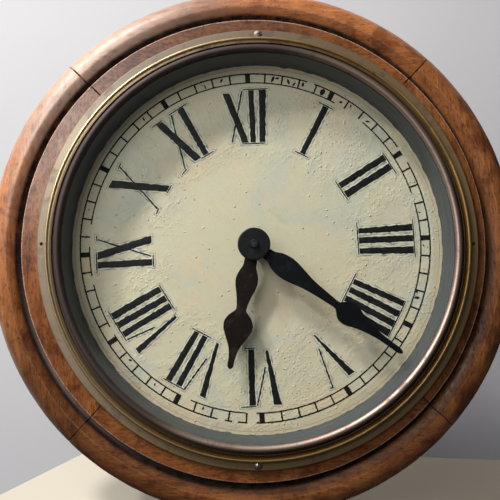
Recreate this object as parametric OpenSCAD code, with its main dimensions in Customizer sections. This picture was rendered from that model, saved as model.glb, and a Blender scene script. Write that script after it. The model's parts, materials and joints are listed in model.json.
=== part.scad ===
// Round wall-hung station clock with an eighteen-inch painted dial, seen at 6:21.
// The pieces are drawn looking at the dial: X right, Y up, Z out of the wall towards the viewer.
// stand_up() then turns them so that the dial faces -Y and +Z is up. The origin is on the hands'
// axis at the wall. The movement is an electric impulse movement, stepped every half minute.

/* [Dial] */
// Visible radius of the dial, inside the drum wall
dial_r = 229; // [222:1:236]
// Thickness of the dial plate
dial_t = 1.4; // [1:0.1:2]
// Width of the dial plate's edge that is hidden behind the surround
dial_edge = 15; // [13:1:18]
// Radius of the hole at the dial's centre
dial_hole_r = 10; // [9:0.5:12]
// Thickness of the drum wall round the dial
drum_wall = 1; // [0.8:0.1:1.5]
// Thickness of the drum's flange
drum_flange_t = 1.2; // [0.8:0.1:2]
// Number of screws that hold the dial from behind
dial_screws_n = 8; // [6:1:12]

/* [Surround] */
// Height of the dial's face above the back of the surround
dial_lift = 30; // [26:1:36]
// Height of the flat inner step above the dial's face
step_rise = 26; // [22:1:30]
// Width of the flat step that shows outside the bezel
step_w = 15; // [10:1:20]
// Width of the floor of the dark groove
groove_w = 11; // [8:0.5:14]
// Height of the groove's floor above the dial's face
groove_rise = 6; // [3:1:10]
// Radius of the round outer moulding
torus_r = 23; // [20:0.5:26]
// Distance from the groove's floor to the middle of the round moulding
torus_inset = 13.5; // [12:0.5:15]
// Length of each loose tongue across a mitred joint
tongue_l = 30; // [20:1:40]
// Width of each loose tongue along the joint
tongue_w = 38; // [30:1:42]
// Thickness of each loose tongue
tongue_t = 6; // [4:0.5:8]

/* [Bezel] */
// Distance that the dial's opening and the bezel sit to the right of the moulding's centre
bezel_shift = 4.8; // [0:0.2:6]
// Width of the sight ring's half-round bead
bead_w = 8.6; // [7:0.2:10]
// Width of the crevice between the sight ring and the bezel's hollow
crevice_w = 2.6; // [2:0.1:4]
// Width of the bezel's hollow
hollow_w = 6.4; // [5:0.1:8]
// Width of the bezel's raised ridge
ridge_w = 3.8; // [3:0.1:5]
// Width of the flat outer flange
flange_w = 11.1; // [10.5:0.1:14]
// Thickness of the flange
flange_t = 4.5; // [3:0.1:6]
// Height of the glass's seat above the flange's seat
seat_rise = 12; // [10:0.5:14]
// Thickness of the glass
glass_t = 3; // [2:0.5:4]
// Radius of a bezel screw's head
bezel_head_r = 5; // [4:0.1:5.2]
// Radius of a bezel screw's shank and of its hole
bezel_screw_r = 2; // [1.5:0.1:2.5]

/* [Back box] */
// Width and height of the back box
box_w = 380; // [360:2:400]
// Depth of the back box, wall to surround
box_d = 92; // [88:1:110]
// Thickness of the box's side, top and bottom boards
board_t = 12; // [10:0.5:16]
// Thickness of the back board
back_t = 9; // [8:0.5:12]
// Thickness of the rails glued and screwed behind the surround
rail_t = 18; // [14:1:20]
// Radius of the cable inlet
inlet_r = 10; // [8:0.5:13]
// Wall of the cable inlet's bush
inlet_wall = 3; // [2:0.5:4]

/* [Door] */
// Height of the access door's opening
door_h = 150; // [120:2:170]
// Thickness of the door
door_t = 8; // [7:0.5:9]
// Height of the door's middle
door_y = -20; // [-40:1:0]
// Gap round the door
door_gap = 0.6; // [0.4:0.1:1]

/* [Hanging] */
// Radius of the hole in each wall ear
ear_hole_r = 4; // [3:0.5:5]
// Width of each wall ear
ear_w = 34; // [30:1:40]
// Thickness of each wall ear
ear_t = 3; // [2:0.5:4]
// Height of an ear's hole beyond the box
ear_reach = 16; // [12:1:24]

/* [Movement] */
// Width of the movement's plates
plate_w = 100; // [96:1:110]
// Thickness of the movement's plates
plate_t = 2.5; // [2:0.1:3]
// Distance between the plates
pillar_l = 28; // [27.5:0.5:34]
// Length of the feet between the dial and the front plate
foot_l = 13.6; // [13.6:0.2:16]
// Radius of the centre arbor
arbor_r = 2.5; // [2.2:0.1:2.8]
// Radius of the ratchet wheel
ratchet_r = 30; // [28:0.5:31]
// Number of ratchet teeth, one for each half minute
ratchet_n = 120; // [120:60:120]
// Outer radius of the coils
coil_r = 12.5; // [11:0.5:13]
// Length of the coils
coil_l = 28.8; // [26:0.2:28.8]
// Radius of the iron cores
core_r = 5; // [4:0.5:6]

/* [Hands] */
// Thickness of each hand
hand_t = 1.6; // [1:0.1:2]
// Height of the hour hand above the dial
hour_rise = 14; // [12:0.5:16]
// Height of the minute hand above the dial
minute_rise = 24; // [22:0.5:26]
// Radius of the round boss over the hands' centre
boss_r = 19.4; // [16:0.2:22]
// Thickness of the round boss
boss_t = 5; // [3:0.5:6]
// Angle of the hour hand, clockwise from twelve
hour_angle = 191; // [180:0.5:200]
// Angle of the minute hand, clockwise from twelve
minute_angle = 126.3; // [120:0.1:132]

/* [Hidden] */
$fn = 96;

// Clearances
run_fit = 0.05;
slack = 0.3;
cut = 1;

// Heights above the wall
dial_z = box_d + dial_lift;
dial_back_z = dial_z - dial_t;
front_z = dial_back_z - foot_l;
front_back_z = front_z - plate_t;
rear_front_z = front_back_z - pillar_l;
rear_z = rear_front_z - plate_t;
step_z = dial_z + step_rise;
seat_z = step_z + seat_rise;

// Radii of the dial's drum, the bezel and the surround
drum_r = dial_r + drum_wall;
plate_r = dial_r + dial_edge;
well_gap = 2.5;
rebate_gap = 2;
well_r = drum_r + well_gap;
rebate_r = plate_r + rebate_gap;
blank_r = well_r - 10;
bead_in = dial_r - 1;
bead_out = bead_in + bead_w;
lip_r = bead_out + crevice_w;
ridge_in = lip_r + hollow_w;
ridge_out = ridge_in + ridge_w;
bezel_r = ridge_out + flange_w;
step_r = bezel_r + step_w;
step_lean = 1;
groove_in = step_r + step_lean;
groove_out = groove_in + groove_w;
torus_mid = groove_out + torus_inset;
outer_r = torus_mid + torus_r;
foot_inset = 6.5;
foot_r = outer_r - foot_inset;
torus_z = dial_z - 4;
arris = 1.2;
bezel_screw_at = bezel_r - flange_w / 2 - 0.6;
bezel_screw_l = 16;

// Box, rails and ears
box_half = box_w / 2;
inner_half = box_half - board_t;
rail_inset = 5;
rail_margin = 14;
rail_out = rebate_r + rail_inset;
rail_reach = foot_r - rail_margin;
rail_clip = rail_out + sqrt(pow(rail_reach, 2) - pow(rail_out, 2));
rail_z = box_d - rail_t;
ear_hole_y = box_half + ear_reach;
ear_end_r = ear_w / 2;
ear_tail = 18;
inlet_x = 60;
inlet_rise = 36;
inlet_z = back_t + inlet_rise;

// Countersunk wood screws, large and small
wood_screw_l = 28;
wood_screw_r = 2;
wood_head_r = 4;
wood_head_h = 2.4;
small_screw_l = 8.8;
small_screw_r = 1.4;
small_head_r = 2.6;
small_head_h = 1.2;
dial_screw_r = 1.5;
dial_screw_l = 10;
dial_screw_head_r = 3;
dial_screw_head_h = 2;
rail_screw_at = [rebate_r - 9, 110];
ear_screw_x = 8;
back_screw_y = 120;
side_screw_y = 60;
wood_screw_mid = box_half - board_t / 2;

// Door, hinges and turn button: the door fills the side between the hinges' leaves and the button
hinge_room = 15;
button_room = 14;
door_z0 = back_t + hinge_room;
door_z1 = rail_z - button_room;
door_w = door_z1 - door_z0;
hinge_z = door_z0 + 0.2;
hinge_x = box_half + 2;
door_y0 = door_y - door_h / 2;
door_y1 = door_y + door_h / 2;
door_stop = 4;
door_bevel = 1.6;
knuckle_r = 1.9;
pin_r = 1;
leaf_t = 1.2;
leaf_h = 26;
leaf_w = 11.2;
leaf_gap = 2.4;
hinge_ys = [door_y - door_h / 2 + 22, door_y + door_h / 2 - 22];
leaf_screw_dy = 8;
knuckle_l = 8;
knuckle_gap = 0.2;
knob_z = door_z1 - 15;
knob_r = 4;
knob_l = 8;
knob_spigot = 1.5;
button_z = door_z1 + button_room / 2;
button_l = 13;
button_end = 4;
button_t = 2;
button_screw_r = 1.8;
button_head_r = 3.2;

// Movement
plate_y0 = -98;
plate_y1 = 42;
pillar_r = 4;
pillar_at = [plate_w / 2 - 6, 36, -92];
foot_at = [32, 36, -92];
screw_r = 1.5;
screw_l = 7;
screw_head_r = 2.75;
screw_head_h = 2.2;
bridge_y = 19;
arbor_pivot_r = 1.5;
wheel_gap = 22.4;
ratchet_z = rear_front_z + 9.5;
ratchet_t = 1.8;
ratchet_depth = 1.1;
stud_r = 1.5;
stud_l = 12.4;
stud_collar_r = 3;
stud_tail_r = 1.2;
magnet_z = (rear_front_z + front_back_z) / 2;
coil_x = 16;
coil_y0 = -86;
coil_flange = 2;
pole_y = -54;
yoke_t = 6;
yoke_w = 13;
shelf_t = 4;
yoke_half = 24;
armature_at = [-40, -48];
armature_t = 4;
armature_end = 25;
armature_w = 15;
armature_pole_gap = 4;
armature_pivot_r = 1.5;
pawl_gap = 0.25;
pawl_angle = atan2(armature_at[1], armature_at[0]);
drive_pawl_at = [-11, -38];
backstop_angle = -30;
backstop_at = [39.4, -4.2];
pawl_hub_r = 3;
pawl_pin_r = 1.25;
spring_at = [22, -18];
spring_r = 2.2;
spring_bore = 1.5;
block_size = [60, 24, 16];
block_rise = 40;
block_y = block_rise - inner_half;
block_floor = 3;
block_screw_y = 6;
terminal_x = 16;
terminal_r = 2.5;
lead_r = 1.1;

// Motion work: two pairs of wheels at one centre distance, three to one and four to one
cannon_n = 16;
minute_n = 48;
pinion_n = 14;
hour_n = 56;
cannon_m = 2 * wheel_gap / (cannon_n + minute_n);
pinion_m = 2 * wheel_gap / (pinion_n + hour_n);
pressure = 20;
tooth_thin = 0.8;
tooth_tip = 0.75;
tooth_root = 1.2;
cannon_z = front_z + 0.6;
cannon_l = 4.5;
minute_wheel_z = front_z + 1.6;
wheel_t = 2;
bridge_z = front_z + 6.1;
bridge_t = 2;
bridge_r = 4.2;
hour_wheel_z = bridge_z + bridge_t + 0.5;
pinion_l = 7.6;
pipe_r = 6.5;

// Hands
hour_z = dial_z + hour_rise;
minute_z = dial_z + minute_rise;
collet_r = 9.5;
collet_l = 6;
boss_z = minute_z + hand_t;
nut_r = 5.2;
nut_t = 3.6;
thread_r = 2;
hour_shape = [[0, 7.8], [24, 7.8], [30, 9.5], [37, 12.3], [45, 13.5], [54, 11.8], [63, 8.9],
    [72, 6.9], [79.5, 6.3], [83, 9], [88, 13.8], [94, 16.9], [99, 17.5], [105, 16.4], [113, 12.6],
    [121, 8.3], [129, 5.4], [138, 3.9], [147, 3.4], [150.5, 0.4]];
minute_shape = [[0, 7], [23, 7.2], [28, 8.8], [34, 11.5], [41, 13], [48, 13.5], [56, 12.8],
    [66, 10.7], [78, 8.1], [92, 6.3], [108, 5.1], [121, 4.5], [125.5, 7.5], [130, 12], [137, 14.1],
    [144, 13.3], [152, 10.1], [161, 7.6], [172, 5.4], [184, 3.9], [198, 3.3], [211, 3.2], [216, 0.4]];

// Mitred joints, clockwise from twelve
joints = [43, 132.3, 223.3, 314.2];

function polar(r, a) = [r * cos(a), r * sin(a)];

module stand_up() {
    rotate([90, 0, 0]) children();
}

module at_corners(x, ya, yb) {
    for (sx = [-1, 1], y = [ya, yb]) translate([sx * x, y, 0]) children();
}

// Ring turned from a profile drawn as radius and height
module turned() {
    rotate_extrude($fn = 180) children();
}

// Moves the bezel, the glass and the dial's opening to their own centre
module at_opening() {
    translate([bezel_shift, 0, 0]) children();
}

// Countersunk screw whose head is flush at z = 0 and whose shank runs up
module countersunk(r, l, head_r, head_h) {
    difference() {
        union() {
            cylinder(r = r, h = l, $fn = 24);
            cylinder(r1 = head_r, r2 = r, h = head_h, $fn = 24);
        }
        translate([-head_r, -r / 6, -cut]) cube([2 * head_r, r / 3, cut + head_h / 3]);
    }
}

module wood_screw() {
    countersunk(wood_screw_r, wood_screw_l, wood_head_r, wood_head_h);
}

module wood_screw_hole() {
    cylinder(r = wood_screw_r, h = wood_screw_l, $fn = 24);
    cylinder(r1 = wood_head_r, r2 = wood_screw_r, h = wood_head_h, $fn = 24);
}

module small_screw() {
    countersunk(small_screw_r, small_screw_l, small_head_r, small_head_h);
}

module small_screw_hole() {
    cylinder(r = small_screw_r, h = small_screw_l, $fn = 24);
    cylinder(r1 = small_head_r, r2 = small_screw_r, h = small_head_h, $fn = 24);
}

// Places of the wood screws: rails to surround, back board to box, box to side rails
module at_rail_screws() {
    for (sx = [-1, 1], sy = [-1, 1]) {
        translate([sx * rail_screw_at[0], sy * rail_screw_at[1], rail_z]) children();
        translate([sx * rail_screw_at[1], sy * rail_screw_at[0], rail_z]) children();
    }
}

module at_back_screws() {
    for (sx = [-1, 1], sy = [-1, 1]) {
        translate([sx * wood_screw_mid, sy * back_screw_y, 0]) children();
        translate([sx * back_screw_y, sy * wood_screw_mid, 0]) children();
    }
}

module at_side_screws() {
    for (sx = [-1, 1], sy = [-1, 1])
        translate([sx * inner_half, sy * side_screw_y, rail_z + rail_t / 2])
            rotate([0, sx * 90, 0]) children();
}

module at_ears() {
    for (a = [0, 180]) rotate(a) children();
}

module at_ear_screws() {
    at_ears() for (sx = [-1, 1]) translate([sx * ear_screw_x, wood_screw_mid, 0]) children();
}

module at_leaf_screws(z) {
    for (y = hinge_ys, dy = [-leaf_screw_dy, leaf_screw_dy])
        translate([box_half + leaf_t, y + dy, z]) rotate([0, -90, 0]) children();
}

module at_block_screws() {
    for (dy = [-block_screw_y, block_screw_y])
        translate([0, block_y + dy, back_t + small_screw_l - block_floor]) rotate([180, 0, 0])
            children();
}

// Surround: one turned profile cut at four mitred joints, then bored for the dial's opening
module surround_profile() {
    polygon([[blank_r, box_d], [foot_r, box_d], [foot_r, torus_z - 16], [torus_mid, torus_z],
        [groove_out + 7.5, dial_z + groove_rise + 11], [groove_out, dial_z + groove_rise + 1],
        [groove_in + 3, dial_z + groove_rise], [groove_in, dial_z + groove_rise + 3],
        [step_r, step_z - arris], [step_r - arris, step_z], [blank_r, step_z]]);
    translate([torus_mid, torus_z]) circle(r = torus_r, $fn = 96);
}

module at_dial_screws() {
    for (i = [0 : dial_screws_n - 1])
        rotate((i + 0.5) * 360 / dial_screws_n) translate([(well_r + plate_r) / 2, 0, 0]) children();
}

module at_bezel_holes(angles) {
    for (a = angles) rotate(a) translate([bezel_screw_at, 0, 0]) children();
}

module tongue() {
    translate([step_r - 12, -tongue_l / 2, box_d + 18]) cube([tongue_w, tongue_l, tongue_t]);
}

module surround(first, last) {
    start = 90 - joints[last];
    sweep = (joints[last] - joints[first] + 360) % 360;
    color("saddlebrown") stand_up() difference() {
        rotate_extrude(angle = sweep, start = start, $fn = 180) surround_profile();
        for (a = joints) rotate(90 - a) tongue();
        at_opening() {
            translate([0, 0, box_d]) cylinder(r = well_r, h = step_z - box_d + cut, $fn = 180);
            translate([0, 0, box_d - cut])
                cylinder(r = rebate_r, h = dial_z + drum_flange_t - box_d + cut, $fn = 180);
            at_dial_screws() translate([0, 0, dial_z])
                cylinder(r = dial_screw_r, h = dial_screw_l, $fn = 24);
            at_bezel_holes([0, 90, 180, 270]) translate([0, 0, step_z - bezel_screw_l + flange_t])
                cylinder(r = bezel_screw_r, h = bezel_screw_l, $fn = 24);
        }
        at_rail_screws() wood_screw_hole();
    }
}

module surround_top() { surround(3, 0); }
module surround_right() { surround(0, 1); }
module surround_bottom() { surround(1, 2); }
module surround_left() { surround(2, 3); }

module joint_tongues() {
    color("burlywood") stand_up() for (a = joints) rotate(90 - a) tongue();
}

// Bezel: flange, ridge, hollow and the ledge that the glass rests on
module bezel_profile() {
    top_z = step_z + flange_t;
    ridge_z = top_z + 4.1;
    lip_z = seat_z + 2.6;
    hollow_r = 8;
    chord = [ridge_in - lip_r, ridge_z - lip_z];
    half = norm(chord) / 2;
    away = sqrt(pow(hollow_r, 2) - pow(half, 2));
    middle = [(ridge_in + lip_r) / 2, (ridge_z + lip_z) / 2];
    centre = middle + away * [-chord[1], chord[0]] / (2 * half);
    difference() {
        polygon([[drum_r + 0.4, seat_z - 2.4], [lip_r - 2, seat_z - 2.4], [lip_r + 1.5, seat_z - 5],
            [ridge_in, step_z], [ridge_in, ridge_z], [lip_r, lip_z], [lip_r, seat_z],
            [drum_r + 0.4, seat_z]]);
        translate(centre) circle(r = hollow_r, $fn = 64);
    }
    polygon([[ridge_in, step_z], [bezel_r, step_z], [bezel_r, top_z - 1.5],
        [bezel_r - 1.5, top_z], [ridge_out, top_z], [ridge_out, ridge_z], [ridge_in, ridge_z]]);
    translate([ridge_in + ridge_w / 2, ridge_z]) circle(r = ridge_w / 2, $fn = 32);
}

module bezel() {
    color("darkgoldenrod") stand_up() at_opening() difference() {
        turned() bezel_profile();
        at_bezel_holes([0, 90, 180, 270]) translate([0, 0, step_z - cut])
            cylinder(r = bezel_screw_r, h = flange_t + 2 * cut, $fn = 24);
    }
}

module sight_ring() {
    crown_z = seat_z + glass_t;
    color("sienna") stand_up() at_opening() turned() {
        intersection() {
            translate([bead_in + bead_w / 2, crown_z]) circle(r = bead_w / 2, $fn = 48);
            translate([bead_in, crown_z]) square([bead_w, bead_w]);
        }
        translate([bead_out - 1, seat_z]) square([1, glass_t]);
    }
}

module glass() {
    color("lightcyan", 0.3) stand_up() at_opening() translate([0, 0, seat_z])
        cylinder(r = bead_out - 1 - 0.2, h = glass_t, $fn = 180);
}

module bezel_screws() {
    slots = [20, 85];
    dome_h = 2.4;
    dome_r = (pow(bezel_head_r, 2) + pow(dome_h, 2)) / (2 * dome_h);
    color("silver") stand_up() at_opening() for (i = [0, 1])
        rotate(90 + 180 * i) translate([bezel_screw_at, 0, step_z + flange_t]) difference() {
            union() {
                translate([0, 0, -bezel_screw_l]) cylinder(r = bezel_screw_r, h = bezel_screw_l, $fn = 24);
                intersection() {
                    translate([0, 0, dome_h - dome_r]) sphere(r = dome_r, $fn = 48);
                    cylinder(r = bezel_head_r, h = dome_h + cut, $fn = 48);
                }
            }
            rotate(slots[i] + 90) translate([-bezel_head_r - cut, -0.6, dome_h - 1.5])
                cube([2 * (bezel_head_r + cut), 1.2, 3]);
        }
}

// Drum wall between the dial and the glass, with a flange behind the surround's lip
module dial_drum() {
    color("slategray") stand_up() at_opening() difference() {
        turned() {
            translate([dial_r, dial_z]) square([drum_wall, seat_z - 2.8 - dial_z]);
            translate([dial_r, dial_z]) square([dial_edge, drum_flange_t]);
        }
        at_dial_screws() translate([0, 0, dial_z - cut])
            cylinder(r = dial_screw_r + 0.2, h = drum_flange_t + 2 * cut, $fn = 24);
    }
}

module dial_plate() {
    color("beige") stand_up() difference() {
        at_opening() translate([0, 0, dial_back_z]) cylinder(r = plate_r, h = dial_t, $fn = 180);
        translate([0, 0, dial_back_z - cut]) cylinder(r = dial_hole_r, h = dial_t + 2 * cut);
        at_opening() at_dial_screws() translate([0, 0, dial_back_z - cut])
            cylinder(r = dial_screw_r + 0.2, h = dial_t + 2 * cut, $fn = 24);
    }
}

module dial_screws() {
    color("silver") stand_up() at_opening() at_dial_screws() {
        translate([0, 0, dial_back_z - dial_screw_head_h])
            cylinder(r = dial_screw_head_r, h = dial_screw_head_h, $fn = 24);
        translate([0, 0, dial_back_z])
            cylinder(r = dial_screw_r, h = dial_t + dial_screw_l, $fn = 24);
    }
}

// Rails behind the surround, which close the space round the box
module side_rails() {
    y_in = rail_clip - box_half;
    y_out = rail_clip - rail_out;
    color("peru") stand_up() difference() {
        for (sx = [-1, 1]) translate([0, 0, rail_z]) linear_extrude(rail_t)
            polygon([[sx * box_half, -y_in], [sx * rail_out, -y_out], [sx * rail_out, y_out],
                [sx * box_half, y_in]]);
        at_rail_screws() wood_screw_hole();
        at_side_screws() wood_screw_hole();
    }
}

module cross_rails() {
    y_in = rail_clip - box_half;
    x_out = rail_clip - rail_out;
    color("peru") stand_up() difference() {
        for (sy = [-1, 1]) translate([0, 0, rail_z]) linear_extrude(rail_t)
            polygon([[-box_half, sy * box_half], [box_half, sy * box_half], [box_half, sy * y_in],
                [x_out, sy * rail_out], [-x_out, sy * rail_out], [-box_half, sy * y_in]]);
        at_rail_screws() wood_screw_hole();
    }
}

module wood_screws() {
    color("goldenrod") stand_up() {
        at_rail_screws() wood_screw();
        at_back_screws() wood_screw();
        at_side_screws() wood_screw();
    }
}

// Back box
module ear() {
    translate([-ear_w / 2, box_half - ear_tail, 0]) cube([ear_w, ear_tail + ear_reach, ear_t]);
    translate([0, ear_hole_y, 0]) cylinder(r = ear_end_r, h = ear_t);
}

module back_board() {
    color("peru") stand_up() difference() {
        translate([-box_half, -box_half, 0]) cube([box_w, box_w, back_t]);
        at_back_screws() wood_screw_hole();
        at_ears() ear();
        at_ear_screws() small_screw_hole();
        at_block_screws() small_screw_hole();
    }
}

module box_board() {
    difference() {
        translate([-inner_half, inner_half, back_t]) cube([2 * inner_half, board_t, box_d - back_t]);
        at_back_screws() wood_screw_hole();
    }
}

module box_top() {
    color("saddlebrown") stand_up() box_board();
}

module box_bottom() {
    color("saddlebrown") stand_up() difference() {
        mirror([0, 1, 0]) box_board();
        translate([inlet_x, -box_half - cut, inlet_z]) rotate([-90, 0, 0])
            cylinder(r = inlet_r + inlet_wall, h = board_t + 2 * cut);
    }
}

module box_side() {
    difference() {
        translate([inner_half, -box_half, back_t]) cube([board_t, box_w, box_d - back_t]);
        at_back_screws() wood_screw_hole();
        at_side_screws() wood_screw_hole();
    }
}

module box_left() {
    color("saddlebrown") stand_up() mirror([1, 0, 0]) box_side();
}

module box_right() {
    color("saddlebrown") stand_up() difference() {
        box_side();
        translate([box_half - door_t - slack, door_y0, door_z0])
            cube([door_t + slack + cut, door_h, door_w]);
        translate([inner_half - cut, door_y0 + door_stop, door_z0 + door_stop])
            cube([board_t + 2 * cut, door_h - 2 * door_stop, door_w - 2 * door_stop]);
        at_leaf_screws(hinge_z - leaf_gap - leaf_w / 2 + 0.5) small_screw_hole();
        translate([inner_half - cut, door_y, button_z]) rotate([0, 90, 0])
            cylinder(r = button_screw_r, h = board_t + 2 * cut, $fn = 24);
    }
}

module wall_ears() {
    color("dimgray") stand_up() difference() {
        at_ears() ear();
        at_ears() translate([0, ear_hole_y, -cut]) cylinder(r = ear_hole_r, h = ear_t + 2 * cut);
        at_ear_screws() small_screw_hole();
    }
}

module small_screws() {
    color("goldenrod") stand_up() {
        at_ear_screws() small_screw();
        at_leaf_screws(hinge_z - leaf_gap - leaf_w / 2 + 0.5) small_screw();
        at_block_screws() small_screw();
    }
}

// Access door in the right side of the box, hinged at its wall edge
module door() {
    color("saddlebrown") stand_up() difference() {
        translate([0, door_y1 - door_gap, 0]) rotate([90, 0, 0])
            linear_extrude(door_h - 2 * door_gap)
                polygon([[box_half - door_t, door_z0 + 0.4], [box_half, door_z0 + 0.4],
                    [box_half, door_z1 - door_gap], [box_half - door_t, door_z1 - door_gap - door_bevel]]);
        at_leaf_screws(hinge_z + leaf_gap + leaf_w / 2 - 0.5) small_screw_hole();
        translate([box_half - knob_l / 2, door_y, knob_z]) rotate([0, 90, 0])
            cylinder(r = knob_spigot, h = knob_l, $fn = 24);
    }
}

module door_leaves() {
    color("goldenrod") stand_up() difference() {
        for (y = hinge_ys) {
            translate([box_half, y - leaf_h / 2, hinge_z + leaf_gap]) cube([leaf_t, leaf_h, leaf_w - 0.8]);
            translate([box_half + 0.1, y - knuckle_l / 2, hinge_z])
                cube([leaf_t - 0.1, knuckle_l, leaf_gap + cut]);
            translate([hinge_x, y + knuckle_l / 2, hinge_z]) rotate([90, 0, 0])
                cylinder(r = knuckle_r, h = knuckle_l, $fn = 32);
        }
        translate([hinge_x, hinge_ys[0] - leaf_h, hinge_z]) rotate([-90, 0, 0])
            cylinder(r = pin_r + run_fit, h = hinge_ys[1] - hinge_ys[0] + 2 * leaf_h, $fn = 32);
        at_leaf_screws(hinge_z + leaf_gap + leaf_w / 2 - 0.5) small_screw_hole();
    }
}

module box_leaves() {
    outer_l = leaf_h / 2 - knuckle_l / 2 - knuckle_gap;
    color("goldenrod") stand_up() difference() {
        for (y = hinge_ys) {
            translate([box_half, y - leaf_h / 2, hinge_z - leaf_gap - leaf_w])
                cube([leaf_t, leaf_h, leaf_w]);
            for (y0 = [y - leaf_h / 2, y + leaf_h / 2 - outer_l]) {
                translate([box_half, y0, hinge_z - leaf_gap - cut])
                    cube([leaf_t, outer_l, leaf_gap + cut]);
                translate([hinge_x, y0, hinge_z]) rotate([-90, 0, 0])
                    cylinder(r = knuckle_r, h = outer_l, $fn = 32);
            }
        }
        translate([hinge_x, hinge_ys[0] - leaf_h, hinge_z]) rotate([-90, 0, 0])
            cylinder(r = pin_r, h = hinge_ys[1] - hinge_ys[0] + 2 * leaf_h, $fn = 32);
        at_leaf_screws(hinge_z - leaf_gap - leaf_w / 2 + 0.5) small_screw_hole();
    }
}

module hinge_pins() {
    color("darkgoldenrod") stand_up() for (y = hinge_ys)
        translate([hinge_x, y - leaf_h / 2, hinge_z]) rotate([-90, 0, 0])
            cylinder(r = pin_r, h = leaf_h, $fn = 32);
}

module door_leaf_screws() {
    color("goldenrod") stand_up() at_leaf_screws(hinge_z + leaf_gap + leaf_w / 2 - 0.5) small_screw();
}

module door_knob() {
    color("goldenrod") stand_up() translate([box_half, door_y, knob_z]) rotate([0, 90, 0]) {
        translate([0, 0, -knob_l / 2]) cylinder(r = knob_spigot, h = knob_l, $fn = 24);
        cylinder(r1 = knob_r * 0.75, r2 = knob_spigot + 0.5, h = knob_l / 2, $fn = 32);
        translate([0, 0, knob_l - knob_r * 0.75]) sphere(r = knob_r, $fn = 32);
    }
}

// Turn button, stored upright and clear of the door; it turns down over the door's edge
module turn_button() {
    color("goldenrod") stand_up() translate([box_half + slack + 0.1, door_y, button_z])
        rotate([0, 90, 0]) difference() {
            union() {
                cylinder(r = button_end, h = button_t, $fn = 32);
                translate([-button_end, 0, 0]) cube([2 * button_end, button_l - button_end, button_t]);
                translate([0, button_l - button_end, 0]) cylinder(r = button_end, h = button_t, $fn = 32);
            }
            translate([0, 0, -cut]) cylinder(r = button_screw_r + run_fit, h = button_t + 2 * cut, $fn = 24);
        }
}

module button_screw() {
    head_x = slack + 0.1 + button_t + run_fit;
    color("goldenrod") stand_up() translate([box_half, door_y, button_z]) rotate([0, 90, 0]) {
        translate([0, 0, -board_t]) cylinder(r = button_screw_r, h = board_t + head_x, $fn = 24);
        translate([0, 0, head_x]) cylinder(r = button_head_r, h = 1.8, $fn = 24);
    }
}

module cable_bush() {
    color("black") stand_up() translate([inlet_x, -box_half - inlet_wall, inlet_z]) rotate([-90, 0, 0])
        difference() {
            union() {
                cylinder(r = inlet_r + 2 * inlet_wall, h = inlet_wall);
                cylinder(r = inlet_r + inlet_wall, h = inlet_wall + board_t);
            }
            translate([0, 0, -cut]) cylinder(r = inlet_r, h = inlet_wall + board_t + 2 * cut);
        }
}

// Movement frame
module plate_screw() {
    cylinder(r = screw_r, h = screw_l, $fn = 24);
    difference() {
        translate([0, 0, -screw_head_h]) cylinder(r = screw_head_r, h = screw_head_h, $fn = 24);
        translate([-screw_head_r - cut, -0.4, -screw_head_h - cut])
            cube([2 * (screw_head_r + cut), 0.8, cut + 1]);
    }
}

// Places of the plate screws, each drawn with its head's seat at z = 0 and its shank upwards
module at_plate_screws() {
    at_corners(pillar_at[0], pillar_at[1], pillar_at[2]) {
        translate([0, 0, rear_z]) children();
        translate([0, 0, front_z]) mirror([0, 0, 1]) children();
    }
    at_corners(foot_at[0], foot_at[1], foot_at[2]) translate([0, 0, front_back_z]) children();
    for (sy = [-1, 1]) translate([0, sy * bridge_y, front_back_z]) children();
    for (sx = [-1, 1]) {
        translate([sx * coil_x, coil_y0 - yoke_t - shelf_t / 2, rear_z]) children();
        translate([sx * coil_x / 2, coil_y0 - yoke_t - shelf_t, magnet_z]) rotate([-90, 0, 0])
            children();
    }
}

module plate_screw_hole() {
    cylinder(r = screw_r, h = screw_l, $fn = 24);
}

module movement_plate(z) {
    corner_r = 6;
    translate([0, 0, z]) linear_extrude(plate_t) difference() {
        union() {
            translate([-plate_w / 2 + corner_r, plate_y0])
                square([plate_w - 2 * corner_r, plate_y1 - plate_y0]);
            translate([-plate_w / 2, plate_y0 + corner_r])
                square([plate_w, plate_y1 - plate_y0 - 2 * corner_r]);
            for (sx = [-1, 1], y = [plate_y0 + corner_r, plate_y1 - corner_r])
                translate([sx * (plate_w / 2 - corner_r), y]) circle(r = corner_r, $fn = 32);
        }
        translate(armature_at) circle(r = armature_pivot_r + run_fit, $fn = 32);
    }
}

module front_plate() {
    color("khaki") stand_up() difference() {
        movement_plate(front_back_z);
        translate([0, 0, front_back_z - cut]) cylinder(r = arbor_r + run_fit, h = plate_t + 2 * cut);
        translate([wheel_gap, 0, front_back_z - cut]) cylinder(r = stud_tail_r, h = plate_t + 2 * cut);
        translate([spring_at[0], spring_at[1], front_back_z - cut])
            cylinder(r = stud_tail_r, h = plate_t + 2 * cut);
        at_plate_screws() plate_screw_hole();
    }
}

module back_plate() {
    color("khaki") stand_up() difference() {
        movement_plate(rear_z);
        translate([0, 0, rear_z - cut]) cylinder(r = arbor_pivot_r + run_fit, h = plate_t + 2 * cut);
        translate([backstop_at[0], backstop_at[1], rear_z - cut])
            cylinder(r = stud_tail_r, h = plate_t + 2 * cut);
        at_plate_screws() plate_screw_hole();
    }
}

module pillars() {
    color("goldenrod") stand_up() difference() {
        at_corners(pillar_at[0], pillar_at[1], pillar_at[2]) translate([0, 0, rear_front_z])
            cylinder(r = pillar_r, h = pillar_l, $fn = 32);
        at_plate_screws() plate_screw_hole();
    }
}

module plate_screws() {
    color("steelblue") stand_up() at_plate_screws() plate_screw();
}

// Feet riveted to the back of the dial, which carry the movement
module dial_feet() {
    color("goldenrod") stand_up() difference() {
        at_corners(foot_at[0], foot_at[1], foot_at[2]) translate([0, 0, front_z])
            cylinder(r = pillar_r, h = foot_l, $fn = 32);
        at_plate_screws() plate_screw_hole();
    }
}

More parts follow.
